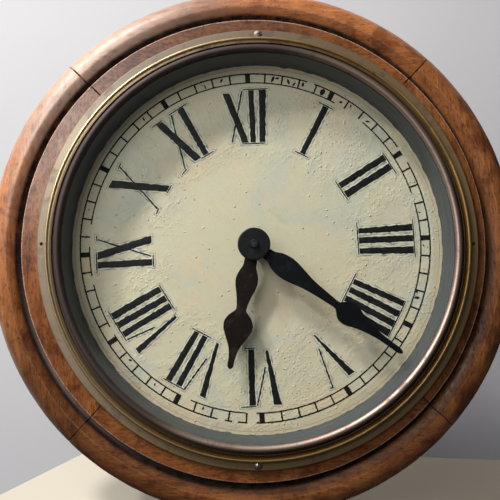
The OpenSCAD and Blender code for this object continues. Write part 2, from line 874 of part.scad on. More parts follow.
// Half angle of a gear tooth at one radius: an involute above the base circle, straight below it
function inv(a) = tan(a) * 180 / PI - a;
function half_tooth(r, pitch_r, teeth) =
    let (base_r = pitch_r * cos(pressure))
    tooth_thin * 90 / teeth + inv(pressure) - (r > base_r ? inv(acos(base_r / r)) : 0);

module gear(teeth, m, t) {
    pitch_r = teeth * m / 2;
    radii = [for (k = [-tooth_root, -0.4, 0.2, tooth_tip]) pitch_r + k * m];
    linear_extrude(t) polygon([for (i = [0 : teeth - 1]) each concat(
        [for (r = radii) polar(r, i * 360 / teeth - half_tooth(r, pitch_r, teeth))],
        [for (k = [3 : -1 : 0])
            polar(radii[k], i * 360 / teeth + half_tooth(radii[k], pitch_r, teeth))])]);
}

// Centre arbor, which carries the minute hand
module centre_arbor() {
    color("lightsteelblue") stand_up() {
        translate([0, 0, rear_z - 2]) cylinder(r = arbor_pivot_r, h = plate_t + 2.5);
        translate([0, 0, rear_front_z + 0.5]) cylinder(r = arbor_r, h = minute_z - rear_front_z - 0.5);
        translate([0, 0, minute_z]) cylinder(r = thread_r, h = hand_t + boss_t + nut_t);
    }
}

module ratchet_wheel() {
    step = 360 / ratchet_n;
    hub_r = 6;
    window_r = 7;
    color("khaki") stand_up() difference() {
        union() {
            translate([0, 0, ratchet_z]) linear_extrude(ratchet_t)
                polygon([for (i = [0 : ratchet_n - 1]) each [polar(ratchet_r, i * step),
                    polar(ratchet_r - ratchet_depth, (i + 0.15) * step)]]);
            translate([0, 0, ratchet_z - 4]) cylinder(r = hub_r, h = 4);
        }
        translate([0, 0, ratchet_z - 4 - cut]) cylinder(r = arbor_r, h = ratchet_t + 4 + 2 * cut);
        for (a = [0 : 60 : 300]) rotate(a) translate([(ratchet_r + hub_r) / 2, 0, ratchet_z - cut])
            cylinder(r = window_r, h = ratchet_t + 2 * cut);
    }
}

module cannon_pinion() {
    color("lightsteelblue") stand_up() translate([0, 0, cannon_z]) difference() {
        gear(cannon_n, cannon_m, cannon_l);
        translate([0, 0, -cut]) cylinder(r = arbor_r, h = cannon_l + 2 * cut);
    }
}

module minute_wheel() {
    color("khaki") stand_up() translate([wheel_gap, 0, minute_wheel_z]) difference() {
        union() {
            rotate(180 + 180 / minute_n) gear(minute_n, cannon_m, wheel_t);
            translate([0, 0, wheel_t]) rotate(180) gear(pinion_n, pinion_m, pinion_l);
        }
        translate([0, 0, -cut]) cylinder(r = stud_r + run_fit, h = wheel_t + pinion_l + 2 * cut);
    }
}

// Three alike riveted studs: under the minute wheel, for the backstop pawl and for the spring
module stud() {
    translate([0, 0, -plate_t]) cylinder(r = stud_tail_r, h = plate_t, $fn = 32);
    cylinder(r = stud_collar_r, h = 1, $fn = 32);
    cylinder(r = stud_r, h = stud_l, $fn = 32);
}

module pivot_studs() {
    color("lightsteelblue") stand_up() {
        translate([wheel_gap, 0, front_z]) stud();
        translate([backstop_at[0], backstop_at[1], rear_front_z]) stud();
        translate([spring_at[0], spring_at[1], front_back_z]) mirror([0, 0, 1]) stud();
    }
}

module hour_wheel() {
    color("khaki") stand_up() translate([0, 0, hour_wheel_z]) difference() {
        union() {
            rotate(180 / hour_n) gear(hour_n, pinion_m, wheel_t);
            cylinder(r = pipe_r, h = hour_z + hand_t - hour_wheel_z);
        }
        translate([0, 0, -cut]) cylinder(r = bridge_r + run_fit, h = hour_z + hand_t - hour_wheel_z + 2 * cut);
    }
}

module hour_bridge() {
    tube_l = hour_z - bridge_z - 4;
    color("khaki") stand_up() difference() {
        union() {
            translate([-5.5, -bridge_y, bridge_z]) cube([11, 2 * bridge_y, bridge_t]);
            for (sy = [-1, 1]) translate([0, sy * bridge_y, front_z])
                cylinder(r = 4, h = bridge_z + bridge_t - front_z, $fn = 32);
            translate([0, 0, bridge_z]) cylinder(r = bridge_r, h = tube_l);
        }
        translate([0, 0, bridge_z - cut]) cylinder(r = arbor_r + run_fit, h = tube_l + 2 * cut);
        at_plate_screws() plate_screw_hole();
    }
}

// Hands: a spline through half widths at distances from the centre
function spline(a, b, c, d, t) = 0.5 * (2 * b + (c - a) * t + (2 * a - 5 * b + 4 * c - d) * pow(t, 2)
    + (3 * b - a - 3 * c + d) * pow(t, 3));
function edge(p) = [for (i = [0 : len(p) - 2], t = [0 : 0.2 : 0.9])
    spline(p[max(i - 1, 0)], p[i], p[i + 1], p[min(i + 2, len(p) - 1)], t), p[len(p) - 1]];

module hand_blade(shape) {
    right = [for (p = edge(shape)) [p[1], p[0]]];
    left = [for (i = [len(right) - 1 : -1 : 0]) [-right[i][0], right[i][1]]];
    linear_extrude(hand_t) polygon(concat(right, left));
}

module hour_hand() {
    color("#2a201c") stand_up() rotate(-hour_angle) translate([0, 0, hour_z]) difference() {
        union() {
            hand_blade(hour_shape);
            cylinder(r = collet_r + 4, h = hand_t);
            translate([0, 0, -collet_l]) cylinder(r = collet_r, h = collet_l);
        }
        translate([0, 0, -collet_l - cut]) cylinder(r = pipe_r, h = collet_l + hand_t + 2 * cut);
    }
}

module minute_hand() {
    color("#17191f") stand_up() rotate(-minute_angle) translate([0, 0, minute_z]) difference() {
        union() {
            hand_blade(minute_shape);
            cylinder(r = collet_r + 4, h = hand_t);
            translate([0, 0, -collet_l]) cylinder(r = collet_r - 2, h = collet_l);
        }
        translate([0, 0, -collet_l - cut]) cylinder(r = arbor_r, h = collet_l + cut);
        cylinder(r = thread_r, h = hand_t + cut);
    }
}

module hand_boss() {
    edge_r = 1.5;
    color("#17191f") stand_up() translate([0, 0, boss_z]) difference() {
        turned() {
            square([boss_r - edge_r, boss_t]);
            square([boss_r, boss_t - edge_r]);
            translate([boss_r - edge_r, boss_t - edge_r]) circle(r = edge_r, $fn = 32);
        }
        translate([0, 0, -cut]) cylinder(r = thread_r, h = boss_t + 2 * cut);
    }
}

module hand_nut() {
    color("#17191f") stand_up() translate([0, 0, boss_z + boss_t]) difference() {
        cylinder(r1 = nut_r, r2 = nut_r - 0.8, h = nut_t, $fn = 48);
        translate([0, 0, -cut]) cylinder(r = thread_r, h = nut_t + 2 * cut);
        rotate(-40) translate([-nut_r - cut, -0.7, nut_t - 1.4]) cube([2 * (nut_r + cut), 1.4, 2]);
    }
}

// Electromagnet and armature
module armature() {
    plate_top = pole_y + armature_pole_gap + armature_t;
    ear_z = ratchet_z + ratchet_t + 0.8;
    ear_thick = 2.4;
    color("gray") stand_up() difference() {
        union() {
            translate([armature_at[0], plate_top - armature_t, magnet_z - armature_w / 2])
                cube([armature_end - armature_at[0], armature_t, armature_w]);
            translate([armature_at[0], armature_at[1], magnet_z - armature_w / 2])
                cylinder(r = 5, h = armature_w);
            translate([drive_pawl_at[0] - 3, plate_top - cut, ear_z])
                cube([6, drive_pawl_at[1] - plate_top + cut, ear_thick]);
            translate([drive_pawl_at[0], drive_pawl_at[1], ear_z]) cylinder(r = 3, h = ear_thick);
            translate([drive_pawl_at[0], drive_pawl_at[1], ratchet_z - 0.6])
                cylinder(r = pawl_pin_r, h = ear_z - ratchet_z + 0.6 + cut, $fn = 32);
        }
        translate([armature_at[0], armature_at[1], magnet_z - armature_w / 2 - cut])
            cylinder(r = armature_pivot_r + 0.5, h = armature_w + 2 * cut);
    }
}

module armature_arbor() {
    color("lightsteelblue") stand_up() translate([armature_at[0], armature_at[1], rear_z]) {
        cylinder(r = armature_pivot_r, h = front_z - rear_z, $fn = 32);
        translate([0, 0, plate_t + 0.5]) cylinder(r = armature_pivot_r + 0.5, h = pillar_l - 1, $fn = 32);
    }
}

// Pawl from its pivot to a tip that stands just clear of the ratchet teeth
module pawl(at, tip_angle, bore_r, hub_z, hub_l) {
    tip = polar(ratchet_r + pawl_gap, tip_angle);
    reach = tip - at;
    long = norm(reach);
    aim = atan2(reach[1], reach[0]);
    translate([at[0], at[1], 0]) difference() {
        union() {
            translate([0, 0, hub_z]) cylinder(r = pawl_hub_r, h = hub_l, $fn = 32);
            translate([0, 0, ratchet_z]) rotate(aim) linear_extrude(ratchet_t)
                polygon([[0, -1.8], [0, 1.8], [long * 0.7, 1.1], [long, 0], [long * 0.7, -1.1]]);
        }
        translate([0, 0, hub_z - cut]) cylinder(r = bore_r, h = hub_l + 2 * cut, $fn = 32);
    }
}

module drive_pawl() {
    color("lightsteelblue") stand_up()
        pawl(drive_pawl_at, pawl_angle, pawl_pin_r + run_fit, ratchet_z, ratchet_t);
}

module backstop_pawl() {
    color("lightsteelblue") stand_up()
        pawl(backstop_at, backstop_angle, stud_r + run_fit, rear_front_z + 1.2,
            ratchet_z + ratchet_t - rear_front_z - 1.2);
}

module magnet_core() {
    color("gray") stand_up() difference() {
        union() {
            translate([-yoke_half, coil_y0 - yoke_t, magnet_z - yoke_w / 2])
                cube([2 * yoke_half, yoke_t, yoke_w]);
            for (sx = [-1, 1]) translate([sx * coil_x, coil_y0 - cut, magnet_z]) rotate([-90, 0, 0])
                cylinder(r = core_r, h = pole_y - coil_y0 + cut, $fn = 48);
        }
        at_plate_screws() plate_screw_hole();
    }
}

module coils() {
    color("darkred") stand_up() for (sx = [-1, 1])
        translate([sx * coil_x, coil_y0, magnet_z]) rotate([-90, 0, 0]) difference() {
            union() {
                cylinder(r = coil_r, h = coil_flange);
                cylinder(r = coil_r - 0.9, h = coil_l);
                translate([0, 0, coil_l - coil_flange]) cylinder(r = coil_r, h = coil_flange);
            }
            translate([0, 0, -cut]) cylinder(r = core_r, h = coil_l + 2 * cut, $fn = 48);
        }
}

module magnet_bracket() {
    color("khaki") stand_up() difference() {
        translate([-yoke_half, coil_y0 - yoke_t - shelf_t, rear_front_z])
            cube([2 * yoke_half, shelf_t, magnet_z + yoke_w / 2 - rear_front_z]);
        at_plate_screws() plate_screw_hole();
    }
}

// Terminal block on the back board, with two clamp screws
module at_terminals() {
    for (sx = [-1, 1]) translate([sx * terminal_x, block_y, back_t + block_size[2]]) children();
}

module terminal_block() {
    color("black") stand_up() difference() {
        translate([-block_size[0] / 2, block_y - block_size[1] / 2, back_t]) cube(block_size);
        at_terminals() translate([0, 0, -8]) cylinder(r = terminal_r / 2, h = 8 + cut, $fn = 24);
        at_block_screws() {
            small_screw_hole();
            translate([0, 0, -block_size[2]]) cylinder(r = small_head_r + slack, h = block_size[2]);
        }
    }
}

module terminal_screws() {
    color("goldenrod") stand_up() at_terminals() {
        translate([0, 0, -8]) cylinder(r = terminal_r / 2, h = 14, $fn = 24);
        cylinder(r = terminal_r + 1, h = 3, $fn = 24);
    }
}

// Two leads inside the case, from the terminals to the coils: a ring of points at each bend
lead_route = [[coil_x + coil_r + slack, coil_y0 + coil_flange / 2, magnet_z],
    [coil_x + coil_r + 3.5, coil_y0 - 1, magnet_z],
    [coil_x + coil_r + 4.5, coil_y0 - 6, magnet_z - 0.5],
    [coil_x + coil_r + 4.5, plate_y0 - 8, magnet_z - 3],
    [coil_x + coil_r + 2, plate_y0 - 16, magnet_z - 12],
    [terminal_x + 10, block_y + 12, back_t + block_size[2] + 25],
    [terminal_x + 2, block_y + 2, back_t + block_size[2] + 12],
    [terminal_x, block_y, back_t + block_size[2] + 6 + slack]];
function unit(v) = v / norm(v);
function ring_at(route, i, r, sides) =
    let (last = len(route) - 1, t = unit(route[min(i + 1, last)] - route[max(i - 1, 0)]),
        u = unit(cross(t, [1, 0, 0.2])), v = cross(t, u))
    [for (k = [0 : sides - 1])
        route[i] + r * (cos(k * 360 / sides) * u + sin(k * 360 / sides) * v)];

module tube(route, r, sides) {
    last = (len(route) - 1) * sides;
    polyhedron([for (i = [0 : len(route) - 1]) each ring_at(route, i, r, sides)], concat(
        [[for (k = [0 : sides - 1]) k]],
        [for (i = [0 : len(route) - 2], k = [0 : sides - 1]) let (n = (k + 1) % sides)
            each [[i * sides + n, i * sides + k, (i + 1) * sides + k],
                [i * sides + n, (i + 1) * sides + k, (i + 1) * sides + n]]],
        [[for (k = [sides - 1 : -1 : 0]) last + k]]));
}

module leads() {
    color("darkgreen") stand_up() for (side = [0, 1]) mirror([side, 0, 0])
        tube(lead_route, lead_r, 8);
}

// Return spring between the armature and its stud, drawn as its outer tube and top loop
module drive_spring() {
    foot_y = pole_y + armature_pole_gap + armature_t;
    spring_z = front_back_z - stud_l + spring_r + 0.6;
    loop_r = stud_r + 0.2;
    loop_out = loop_r + 0.9;
    color("silver") stand_up() {
        translate([spring_at[0], foot_y, spring_z]) rotate([-90, 0, 0]) difference() {
            cylinder(r = spring_r, h = spring_at[1] - loop_out + 0.4 - foot_y, $fn = 32);
            translate([0, 0, 0.9]) cylinder(r = spring_bore, h = spring_at[1] - loop_out - foot_y - 1.8,
                $fn = 32);
        }
        translate([spring_at[0], spring_at[1], spring_z - 0.6]) difference() {
            cylinder(r = loop_out, h = 1.2, $fn = 32);
            translate([0, 0, -cut]) cylinder(r = loop_r, h = 1.2 + 2 * cut, $fn = 32);
        }
    }
}

surround_top();
surround_right();
surround_bottom();
surround_left();
joint_tongues();
bezel();
sight_ring();
glass();
bezel_screws();
dial_drum();
dial_plate();
dial_screws();
side_rails();
cross_rails();
wood_screws();
back_board();
box_top();
box_bottom();
box_left();
box_right();
wall_ears();
small_screws();
door();
door_leaves();
box_leaves();
hinge_pins();
door_leaf_screws();
door_knob();
turn_button();
button_screw();
cable_bush();
front_plate();
back_plate();
pillars();
plate_screws();
dial_feet();
centre_arbor();
ratchet_wheel();
cannon_pinion();
minute_wheel();
pivot_studs();
hour_wheel();
hour_bridge();
hour_hand();
minute_hand();
hand_boss();
hand_nut();
armature();
armature_arbor();
drive_pawl();
backstop_pawl();
magnet_core();
coils();
magnet_bracket();
terminal_block();
terminal_screws();
leads();
drive_spring();
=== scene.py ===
"""Looks of the round station clock: oak surround, brass bezel, painted dial, hands and movement."""

import functools
import json
import math

import bpy
import numpy as np
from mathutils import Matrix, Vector


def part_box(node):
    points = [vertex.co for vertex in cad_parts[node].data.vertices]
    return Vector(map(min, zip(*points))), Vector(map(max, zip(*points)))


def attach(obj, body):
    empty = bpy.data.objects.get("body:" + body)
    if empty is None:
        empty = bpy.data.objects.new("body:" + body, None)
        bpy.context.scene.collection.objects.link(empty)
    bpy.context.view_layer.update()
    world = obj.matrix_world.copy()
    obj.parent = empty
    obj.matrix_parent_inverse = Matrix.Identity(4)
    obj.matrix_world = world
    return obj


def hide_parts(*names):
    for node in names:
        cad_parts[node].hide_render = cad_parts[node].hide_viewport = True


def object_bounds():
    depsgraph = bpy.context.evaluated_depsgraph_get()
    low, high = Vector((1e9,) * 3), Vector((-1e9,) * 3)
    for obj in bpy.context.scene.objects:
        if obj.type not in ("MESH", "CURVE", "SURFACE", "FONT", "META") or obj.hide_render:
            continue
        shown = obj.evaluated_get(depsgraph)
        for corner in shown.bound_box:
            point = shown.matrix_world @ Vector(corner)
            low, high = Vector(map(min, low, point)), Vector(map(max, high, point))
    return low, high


bl_info = {
    "name": "Station clock",
    "version": (1, 0, 0),
    "blender": (4, 5, 0),
    "location": "View3D > Sidebar > Clock",
    "description": "Dresses the packed station clock: wood, brass, dial paint, movement and light",
    "category": "Object",
}

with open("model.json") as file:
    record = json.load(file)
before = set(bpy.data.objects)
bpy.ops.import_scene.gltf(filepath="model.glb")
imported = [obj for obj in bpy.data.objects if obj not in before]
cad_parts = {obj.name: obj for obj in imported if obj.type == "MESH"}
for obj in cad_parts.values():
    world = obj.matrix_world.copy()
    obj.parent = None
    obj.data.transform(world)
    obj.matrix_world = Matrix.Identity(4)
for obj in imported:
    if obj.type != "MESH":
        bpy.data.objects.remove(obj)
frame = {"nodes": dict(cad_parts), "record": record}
CAD_BOX = [list(corner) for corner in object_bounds()]
MM = 0.001

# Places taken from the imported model, in metres: heights are counted out of the wall, along -Y
DIAL_HEIGHT = -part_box("dial_plate")[0].y
OPENING_X = (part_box("bezel")[0].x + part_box("bezel")[1].x) / 2
BEZEL_RADIUS = (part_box("bezel")[1].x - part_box("bezel")[0].x) / 2
DIAL_RADIUS = 0.229
# The painted figures' own centre and turn on the dial, which a hand repaint left slightly off
PRINT_CENTRE = np.array([2.25, 1.8]) * MM
PRINT_TURN = -2.7


def srgb(red, green, blue):
    """Linear colour of an sRGB colour written as 0 to 255."""
    channels = np.array([red, green, blue]) / 255
    linear = np.where(channels <= 0.04045, channels / 12.92, ((channels + 0.055) / 1.055) ** 2.4)
    return tuple(float(channel) for channel in linear)


# Settings that a user would change


def colour_property(name, description, *rgb):
    return bpy.props.FloatVectorProperty(
        name=name, description=description, default=srgb(*rgb), subtype="COLOR", min=0, max=1
    )


def length_property(name, description, millimetres):
    return bpy.props.FloatProperty(
        name=name, description=description, default=millimetres * MM, unit="LENGTH", precision=5, min=0
    )


def power_property(name, description, power):
    return bpy.props.FloatProperty(name=name, description=description, default=power, unit="POWER")


class ClockSizes(bpy.types.PropertyGroup):
    """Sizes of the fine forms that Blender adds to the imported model"""

    joint_gap: length_property("Joint gap", "Half of the open line between two rim segments", 0.2)
    joint_ease: length_property("Joint ease", "How far a segment's end edge is rounded back", 0.45)
    dent_depth: length_property("Dent depth", "Deepest dents along the step's outer edge", 0.35)
    wobble: length_property("Wobble", "Unevenness of the turned wood", 0.08)
    ink_height: length_property("Ink height", "How far the black figures stand above the dial", 0.3)
    margin_height: length_property("Margin height", "Height of the pale paint round the figures", 0.2)
    outline_height: length_property("Outline height", "Height of the worn line round the pale paint", 0.06)
    margin_width: length_property("Margin width", "Width of the pale paint round a figure's bars", 1.3)
    track_outer: length_property("Track outer radius", "Radius of the minute track's outer line", 216)
    track_inner: length_property("Track inner radius", "Radius of the minute track's inner line", 204.5)


class ClockColours(bpy.types.PropertyGroup):
    """Colours of the clock's finishes"""

    oak_light: colour_property("Oak, light", "Lightest wood of the surround", 186, 124, 70)
    oak_mid: colour_property("Oak, middle", "Main wood colour", 157, 96, 52)
    oak_dark: colour_property("Oak, dark", "Dark growth bands and old varnish", 102, 52, 25)
    oak_pore: colour_property("Oak pores", "Dirt in the pores and joints", 34, 19, 14)
    # Black-brown of the grooves: dirt together with painted shade at their bottom
    oak_dirt_and_shade: colour_property("Groove dirt", "Black-brown dirt at the bottom of the grooves", 30, 20, 17)
    brass_old: colour_property("Old brass", "Browned brass of the bezel", 184, 150, 92)
    brass_brown: colour_property("Brass patina", "Dark patina on the brass", 70, 52, 38)
    copper: colour_property("Sight ring", "Copper-brown ring at the glass", 178, 156, 144)
    brass_clean: colour_property("Plain brass", "Brass of the movement and fittings", 205, 172, 108)
    steel: colour_property("Steel", "Polished steel of arbors and screws", 190, 190, 188)
    drum_paint: colour_property("Drum paint", "Blue-grey paint between dial and glass", 86, 91, 94)
    dial_paint: colour_property("Dial paint", "Cream paint of the dial", 216, 206, 178)
    dial_edge: colour_property("Dial edge", "Tan band round the minute track", 200, 186, 156)
    margin_paint: colour_property("Retouching", "Pale paint round the figures", 222, 218, 198)
    outline_paint: colour_property("Worn outline", "Blue-grey line round the retouching", 142, 146, 137)
    ink: colour_property("Ink", "Black paint of the figures", 22, 24, 27)
    minute_enamel: colour_property("Minute hand", "Blue-black enamel", 12, 15, 20)
    hour_enamel: colour_property("Hour hand", "Brown-black enamel", 27, 18, 16)
    wall_paint: colour_property("Wall", "Pale wall behind the clock", 212, 211, 215)
    floor_paint: colour_property("Floor", "Pale floor under the clock", 204, 196, 181)


class ClockLights(bpy.types.PropertyGroup):
    """Camera and studio light"""

    near_power: power_property("Near lamp", "Power of the wide lamp near the dial", 3.8)
    sheen_power: power_property("Sheen lamp", "Power of the soft lamp that the varnish mirrors", 20.0)
    upper_power: power_property("Upper lamp", "Power of the lamp high on the left", 96.0)
    left_power: power_property("Left lamp", "Power of the small lamp far on the left", 46.0)
    back_power: power_property("Back lamp", "Power of the lamp behind the clock", 25.0)
    room_strength: bpy.props.FloatProperty(
        name="Room light", description="Strength of the room's own soft light", default=0.17, min=0
    )
    lens: bpy.props.FloatProperty(
        name="Lens", description="Focal length of the camera", default=36.0, unit="CAMERA"
    )


# Shader nodes


class Field:
    """Output socket of a node tree. Arithmetic on fields adds Math nodes to that tree."""

    def __init__(self, socket):
        self.socket, self.tree = socket, socket.id_data

    def __add__(self, other):
        return calculate("ADD", self, other)

    def __sub__(self, other):
        return calculate("SUBTRACT", self, other)

    def __rsub__(self, other):
        return calculate("SUBTRACT", other, self)

    def __mul__(self, other):
        return calculate("MULTIPLY", self, other)

    def clamped(self):
        """The same value, held between 0 and 1 by its own Math node."""
        self.socket.node.use_clamp = True
        return self

    def beside(self, name):
        """Another output of the same node."""
        return Field(self.socket.node.outputs[name])


def fill(node, inputs):
    """Links each input that is a field, and sets any other to its value; a colour may leave out its alpha."""
    for key, value in inputs.items():
        socket = node.inputs[key]
        if isinstance(value, Field):
            value.tree.links.new(value.socket, socket)
        elif socket.type == "RGBA":
            socket.default_value = (*value[:3], 1.0)
        else:
            socket.default_value = value


def add(tree, kind, inputs=None, output=0, **settings):
    """Adds a node and gives one of its outputs. Settings are set before the inputs."""
    node = tree.nodes.new("ShaderNode" + kind)
    for key, value in settings.items():
        setattr(node, key, value)
    fill(node, inputs or {})
    return Field(node.outputs[output])


def tree_of(values):
    """Node tree of the first field among some values."""
    return next(value.tree for value in values if isinstance(value, Field))


def calculate(operation, *values):
    """Result of one Math node."""
    return add(tree_of(values), "Math", dict(enumerate(values)), operation=operation)


def greatest(first, *others):
    """Largest of some fields."""
    for other in others:
        first = calculate("MAXIMUM", first, other)
    return first


def ripple(length, pitch):
    """Sine with one period per pitch."""
    return calculate("SINE", length * (2 * math.pi / pitch))


def vector_math(operation, *values, output=0):
    """Result of one Vector Math node."""
    return add(tree_of(values), "VectorMath", dict(enumerate(values)), output, operation=operation)


def split(vector):
    """The three components of a vector."""
    parts = add(vector.tree, "SeparateXYZ", {0: vector})
    return [parts.beside(axis) for axis in "XYZ"]


def blend(factor, first, second, kind="MIX"):
    """Colour between two colours."""
    inputs = {0: factor, 6: first, 7: second}
    return add(tree_of(inputs.values()), "Mix", inputs, 2, data_type="RGBA", blend_type=kind)


def tint(colour, shade):
    """Product of two colours."""
    return blend(1.0, colour, shade, "MULTIPLY")


def step_up(value, low, high, to_low=0.0, to_high=1.0):
    """Smooth rise from to_low at low to to_high at high."""
    inputs = {"Value": value, "From Min": low, "From Max": high, "To Min": to_low, "To Max": to_high}
    return add(value.tree, "MapRange", inputs, "Result", interpolation_type="SMOOTHSTEP")


def noise(place, scale, detail=3.0, rough=0.55, distortion=0.0):
    """Value of a noise texture. A scale of three numbers is one for each axis."""
    if isinstance(scale, tuple):
        place, scale = vector_math("MULTIPLY", place, scale), 1.0
    inputs = {"Vector": place, "Scale": scale, "Detail": detail, "Roughness": rough, "Distortion": distortion}
    return add(place.tree, "TexNoise", inputs)


def cells(place, scale):
    """Distance to the middle of the nearest random cell; the cell's own colour lies beside it."""
    inputs = {"Vector": place, "Scale": scale, "Randomness": 1.0}
    return add(place.tree, "TexVoronoi", inputs, "Distance", feature="F1")


def shared_group(name, inputs, outputs):
    """Makes a building function one node group, which is built on its first use and placed with its own values
    by each call. An input is given by its kind, or by a number's default."""

    def wrap(build):
        def make():
            tree = bpy.data.node_groups.new(name, "ShaderNodeTree")
            for label, kind in inputs.items():
                word = kind if isinstance(kind, str) else "Float"
                socket = tree.interface.new_socket(name=label, in_out="INPUT", socket_type="NodeSocket" + word)
                if word == "Float":
                    socket.default_value = kind
            for label, kind in outputs.items():
                tree.interface.new_socket(name=label, in_out="OUTPUT", socket_type="NodeSocket" + kind)
            start = tree.nodes.new("NodeGroupInput").outputs
            results = build(*(Field(start[label]) for label in inputs))
            fill(tree.nodes.new("NodeGroupOutput"), dict(zip(outputs, results)))
            return tree

        @functools.wraps(build)
        def placed(*values):
            node = tree_of(values).nodes.new("ShaderNodeGroup")
            node.node_tree = bpy.data.node_groups.get(name) or make()
            fill(node, dict(zip(inputs, values)))
            return [Field(node.outputs[label]) for label in outputs]

        return placed

    return wrap


@shared_group(
    "WoodFigure",
    {
        "Vector": "Vector", "Light": "Color", "Middle": "Color", "Dark": "Color", "Pore": "Color",
        "Contrast": 1.0, "Pore Amount": 0.5,
    },
    {"Color": "Color", "Height": "Float", "Dullness": "Float"},
)
def wood_figure(place, light, middle, dark, pore, contrast, pore_amount):
    """Growth bands, open pores and fibres stretched along X of the vector, in metres."""
    bands = noise(place, (9, 150, 150), 4, 0.6, 0.5)
    blotches = noise(place, (16, 34, 34), 3, 0.6, 0.4)
    streaks = noise(place, (62, 330, 330), 4, 0.66, 0.2)
    flecks = noise(place, (130, 560, 560), 3, 0.65)
    fibres = noise(place, (60, 2600, 2600), 2, 0.5)
    tone = (bands * 0.55 + blotches * 0.45 - 0.5) * contrast + 0.5
    colour = blend(step_up(tone, 0.3, 0.52), dark, middle)
    colour = blend(step_up(tone, 0.5, 0.72), colour, light)
    dark_streak = step_up(streaks, 0.5, 0.7, 0.0, 0.6)
    colour = blend(dark_streak, colour, dark)
    colour = blend(step_up(streaks, 0.42, 0.3, 0.0, 0.4), colour, light)
    pores = step_up(flecks, 0.57, 0.68) * pore_amount
    colour = tint(blend(pores, colour, pore), step_up(fibres, 0.3, 0.7, 0.86, 1.08))
    return colour, fibres * 0.25 - pores, greatest(pores, dark_streak)


@shared_group(
    "AgeSpots",
    {"Vector": "Vector", "Scale": 30.0, "Amount": 0.5, "Speck Scale": 400.0},
    {"Stain": "Float", "Speck": "Float"},
)
def age_spots(place, scale, amount, speck_scale):
    """Masks of irregular stains and of small dark specks."""
    broad = noise(place, scale, 5, 0.65, 0.5)
    stain = step_up(broad - (0.78 - amount * 0.4), -0.04, 0.1)
    return stain, step_up(noise(place, speck_scale, 2, 0.5), 0.68, 0.74)


@shared_group("LatheMarks", {"Coordinate": 0.0, "Lines per metre": 1500.0}, {"Tone": "Float", "Height": "Float"})
def lathe_marks(coordinate, lines_per_metre):
    """Fine turning or polishing lines: noise along one coordinate only."""
    place = add(coordinate.tree, "CombineXYZ", {"X": coordinate})
    lines = noise(place, lines_per_metre, 2, 0.6)
    return step_up(lines, 0.35, 0.65), lines


@shared_group("BrushRelief", {"Vector": "Vector", "Turn": 0.6}, {"Height": "Float", "Tone": "Float"})
def brush_relief(place, turn):
    """Raised strokes and flakes of hand-laid paint."""
    turned = add(place.tree, "VectorRotate", {"Vector": place, "Angle": turn}, rotation_type="Y_AXIS")
    strokes = noise(turned, (260, 260, 60), 4, 0.65, 0.6)
    crossed = noise(turned, (60, 240, 300), 4, 0.65, 0.8)
    chips = step_up(cells(place, 260.0), 0.1, 0.45, 0.35, 0.0)
    return strokes * 0.7 + crossed * 0.5 + chips, step_up(strokes, 0.3, 0.7)


@shared_group("DustFilm", {"Vector": "Vector", "Amount": 0.4}, {"Mask": "Float"})
def dust_film(place, amount):
    """Pale dust on faces that look up, broken by noise."""
    upward = split(add(place.tree, "NewGeometry", output="Normal"))[2]
    patchy = step_up(noise(place, 60.0, 4, 0.6), 0.35, 0.7, 0.4, 1.0)
    return (step_up(upward, 0.3, 1.0) * patchy * amount,)


def by_label(keywords):
    """Inputs by their labels in Blender, from keywords with underscores."""
    return {label.replace("_", " "): value for label, value in keywords.items()}


def new_material(name, **constants):
    """New material with its Principled BSDF; constants are set straight on the shader's sockets."""
    material = bpy.data.materials.new(name)
    material.use_nodes = True
    shader = material.node_tree.nodes["Principled BSDF"]
    fill(shader, by_label(constants))
    return material, shader


def surface(name, **constants):
    """Makes a material and gives its object coordinates, which are metres in the clock's own frame, and the function
    that links its last inputs."""
    material, shader = new_material(name, **constants)
    tree = material.node_tree

    def finish(colour, roughness, bump, **others):
        """Links colour, roughness and bump (height, strength, distance), and other inputs by name."""
        normal = add(tree, "Bump", dict(zip(("Height", "Strength", "Distance"), bump)))
        fill(shader, {"Base Color": colour, "Roughness": roughness, "Normal": normal, **by_label(others)})
        return material

    return add(tree, "TexCoord", output="Object"), finish


def let_through(shader, share, colour=(1.0, 1.0, 1.0)):
    """Lets a share of the rays pass straight through a shader's material, tinted by a colour."""
    tree = shader.id_data
    clear = add(tree, "BsdfTransparent", {"Color": colour})
    mixed = add(tree, "MixShader", {0: share, 1: Field(shader.outputs[0]), 2: clear})
    fill(tree.nodes["Material Output"], {"Surface": mixed})


def turned_place(place, turn):
    """Coordinates turned about Y."""
    return add(place.tree, "Mapping", {"Vector": place, "Rotation": (0, turn, 0)})


def ring_place(place, centre_x):
    """Distance from an axis that runs along Y through centre_x, and the angle round it."""
    x, _, z = split(place)
    across = x - centre_x
    flat = add(place.tree, "CombineXYZ", {"X": across, "Z": z})
    return vector_math("LENGTH", flat, output="Value"), calculate("ARCTAN2", across, z)


# Materials


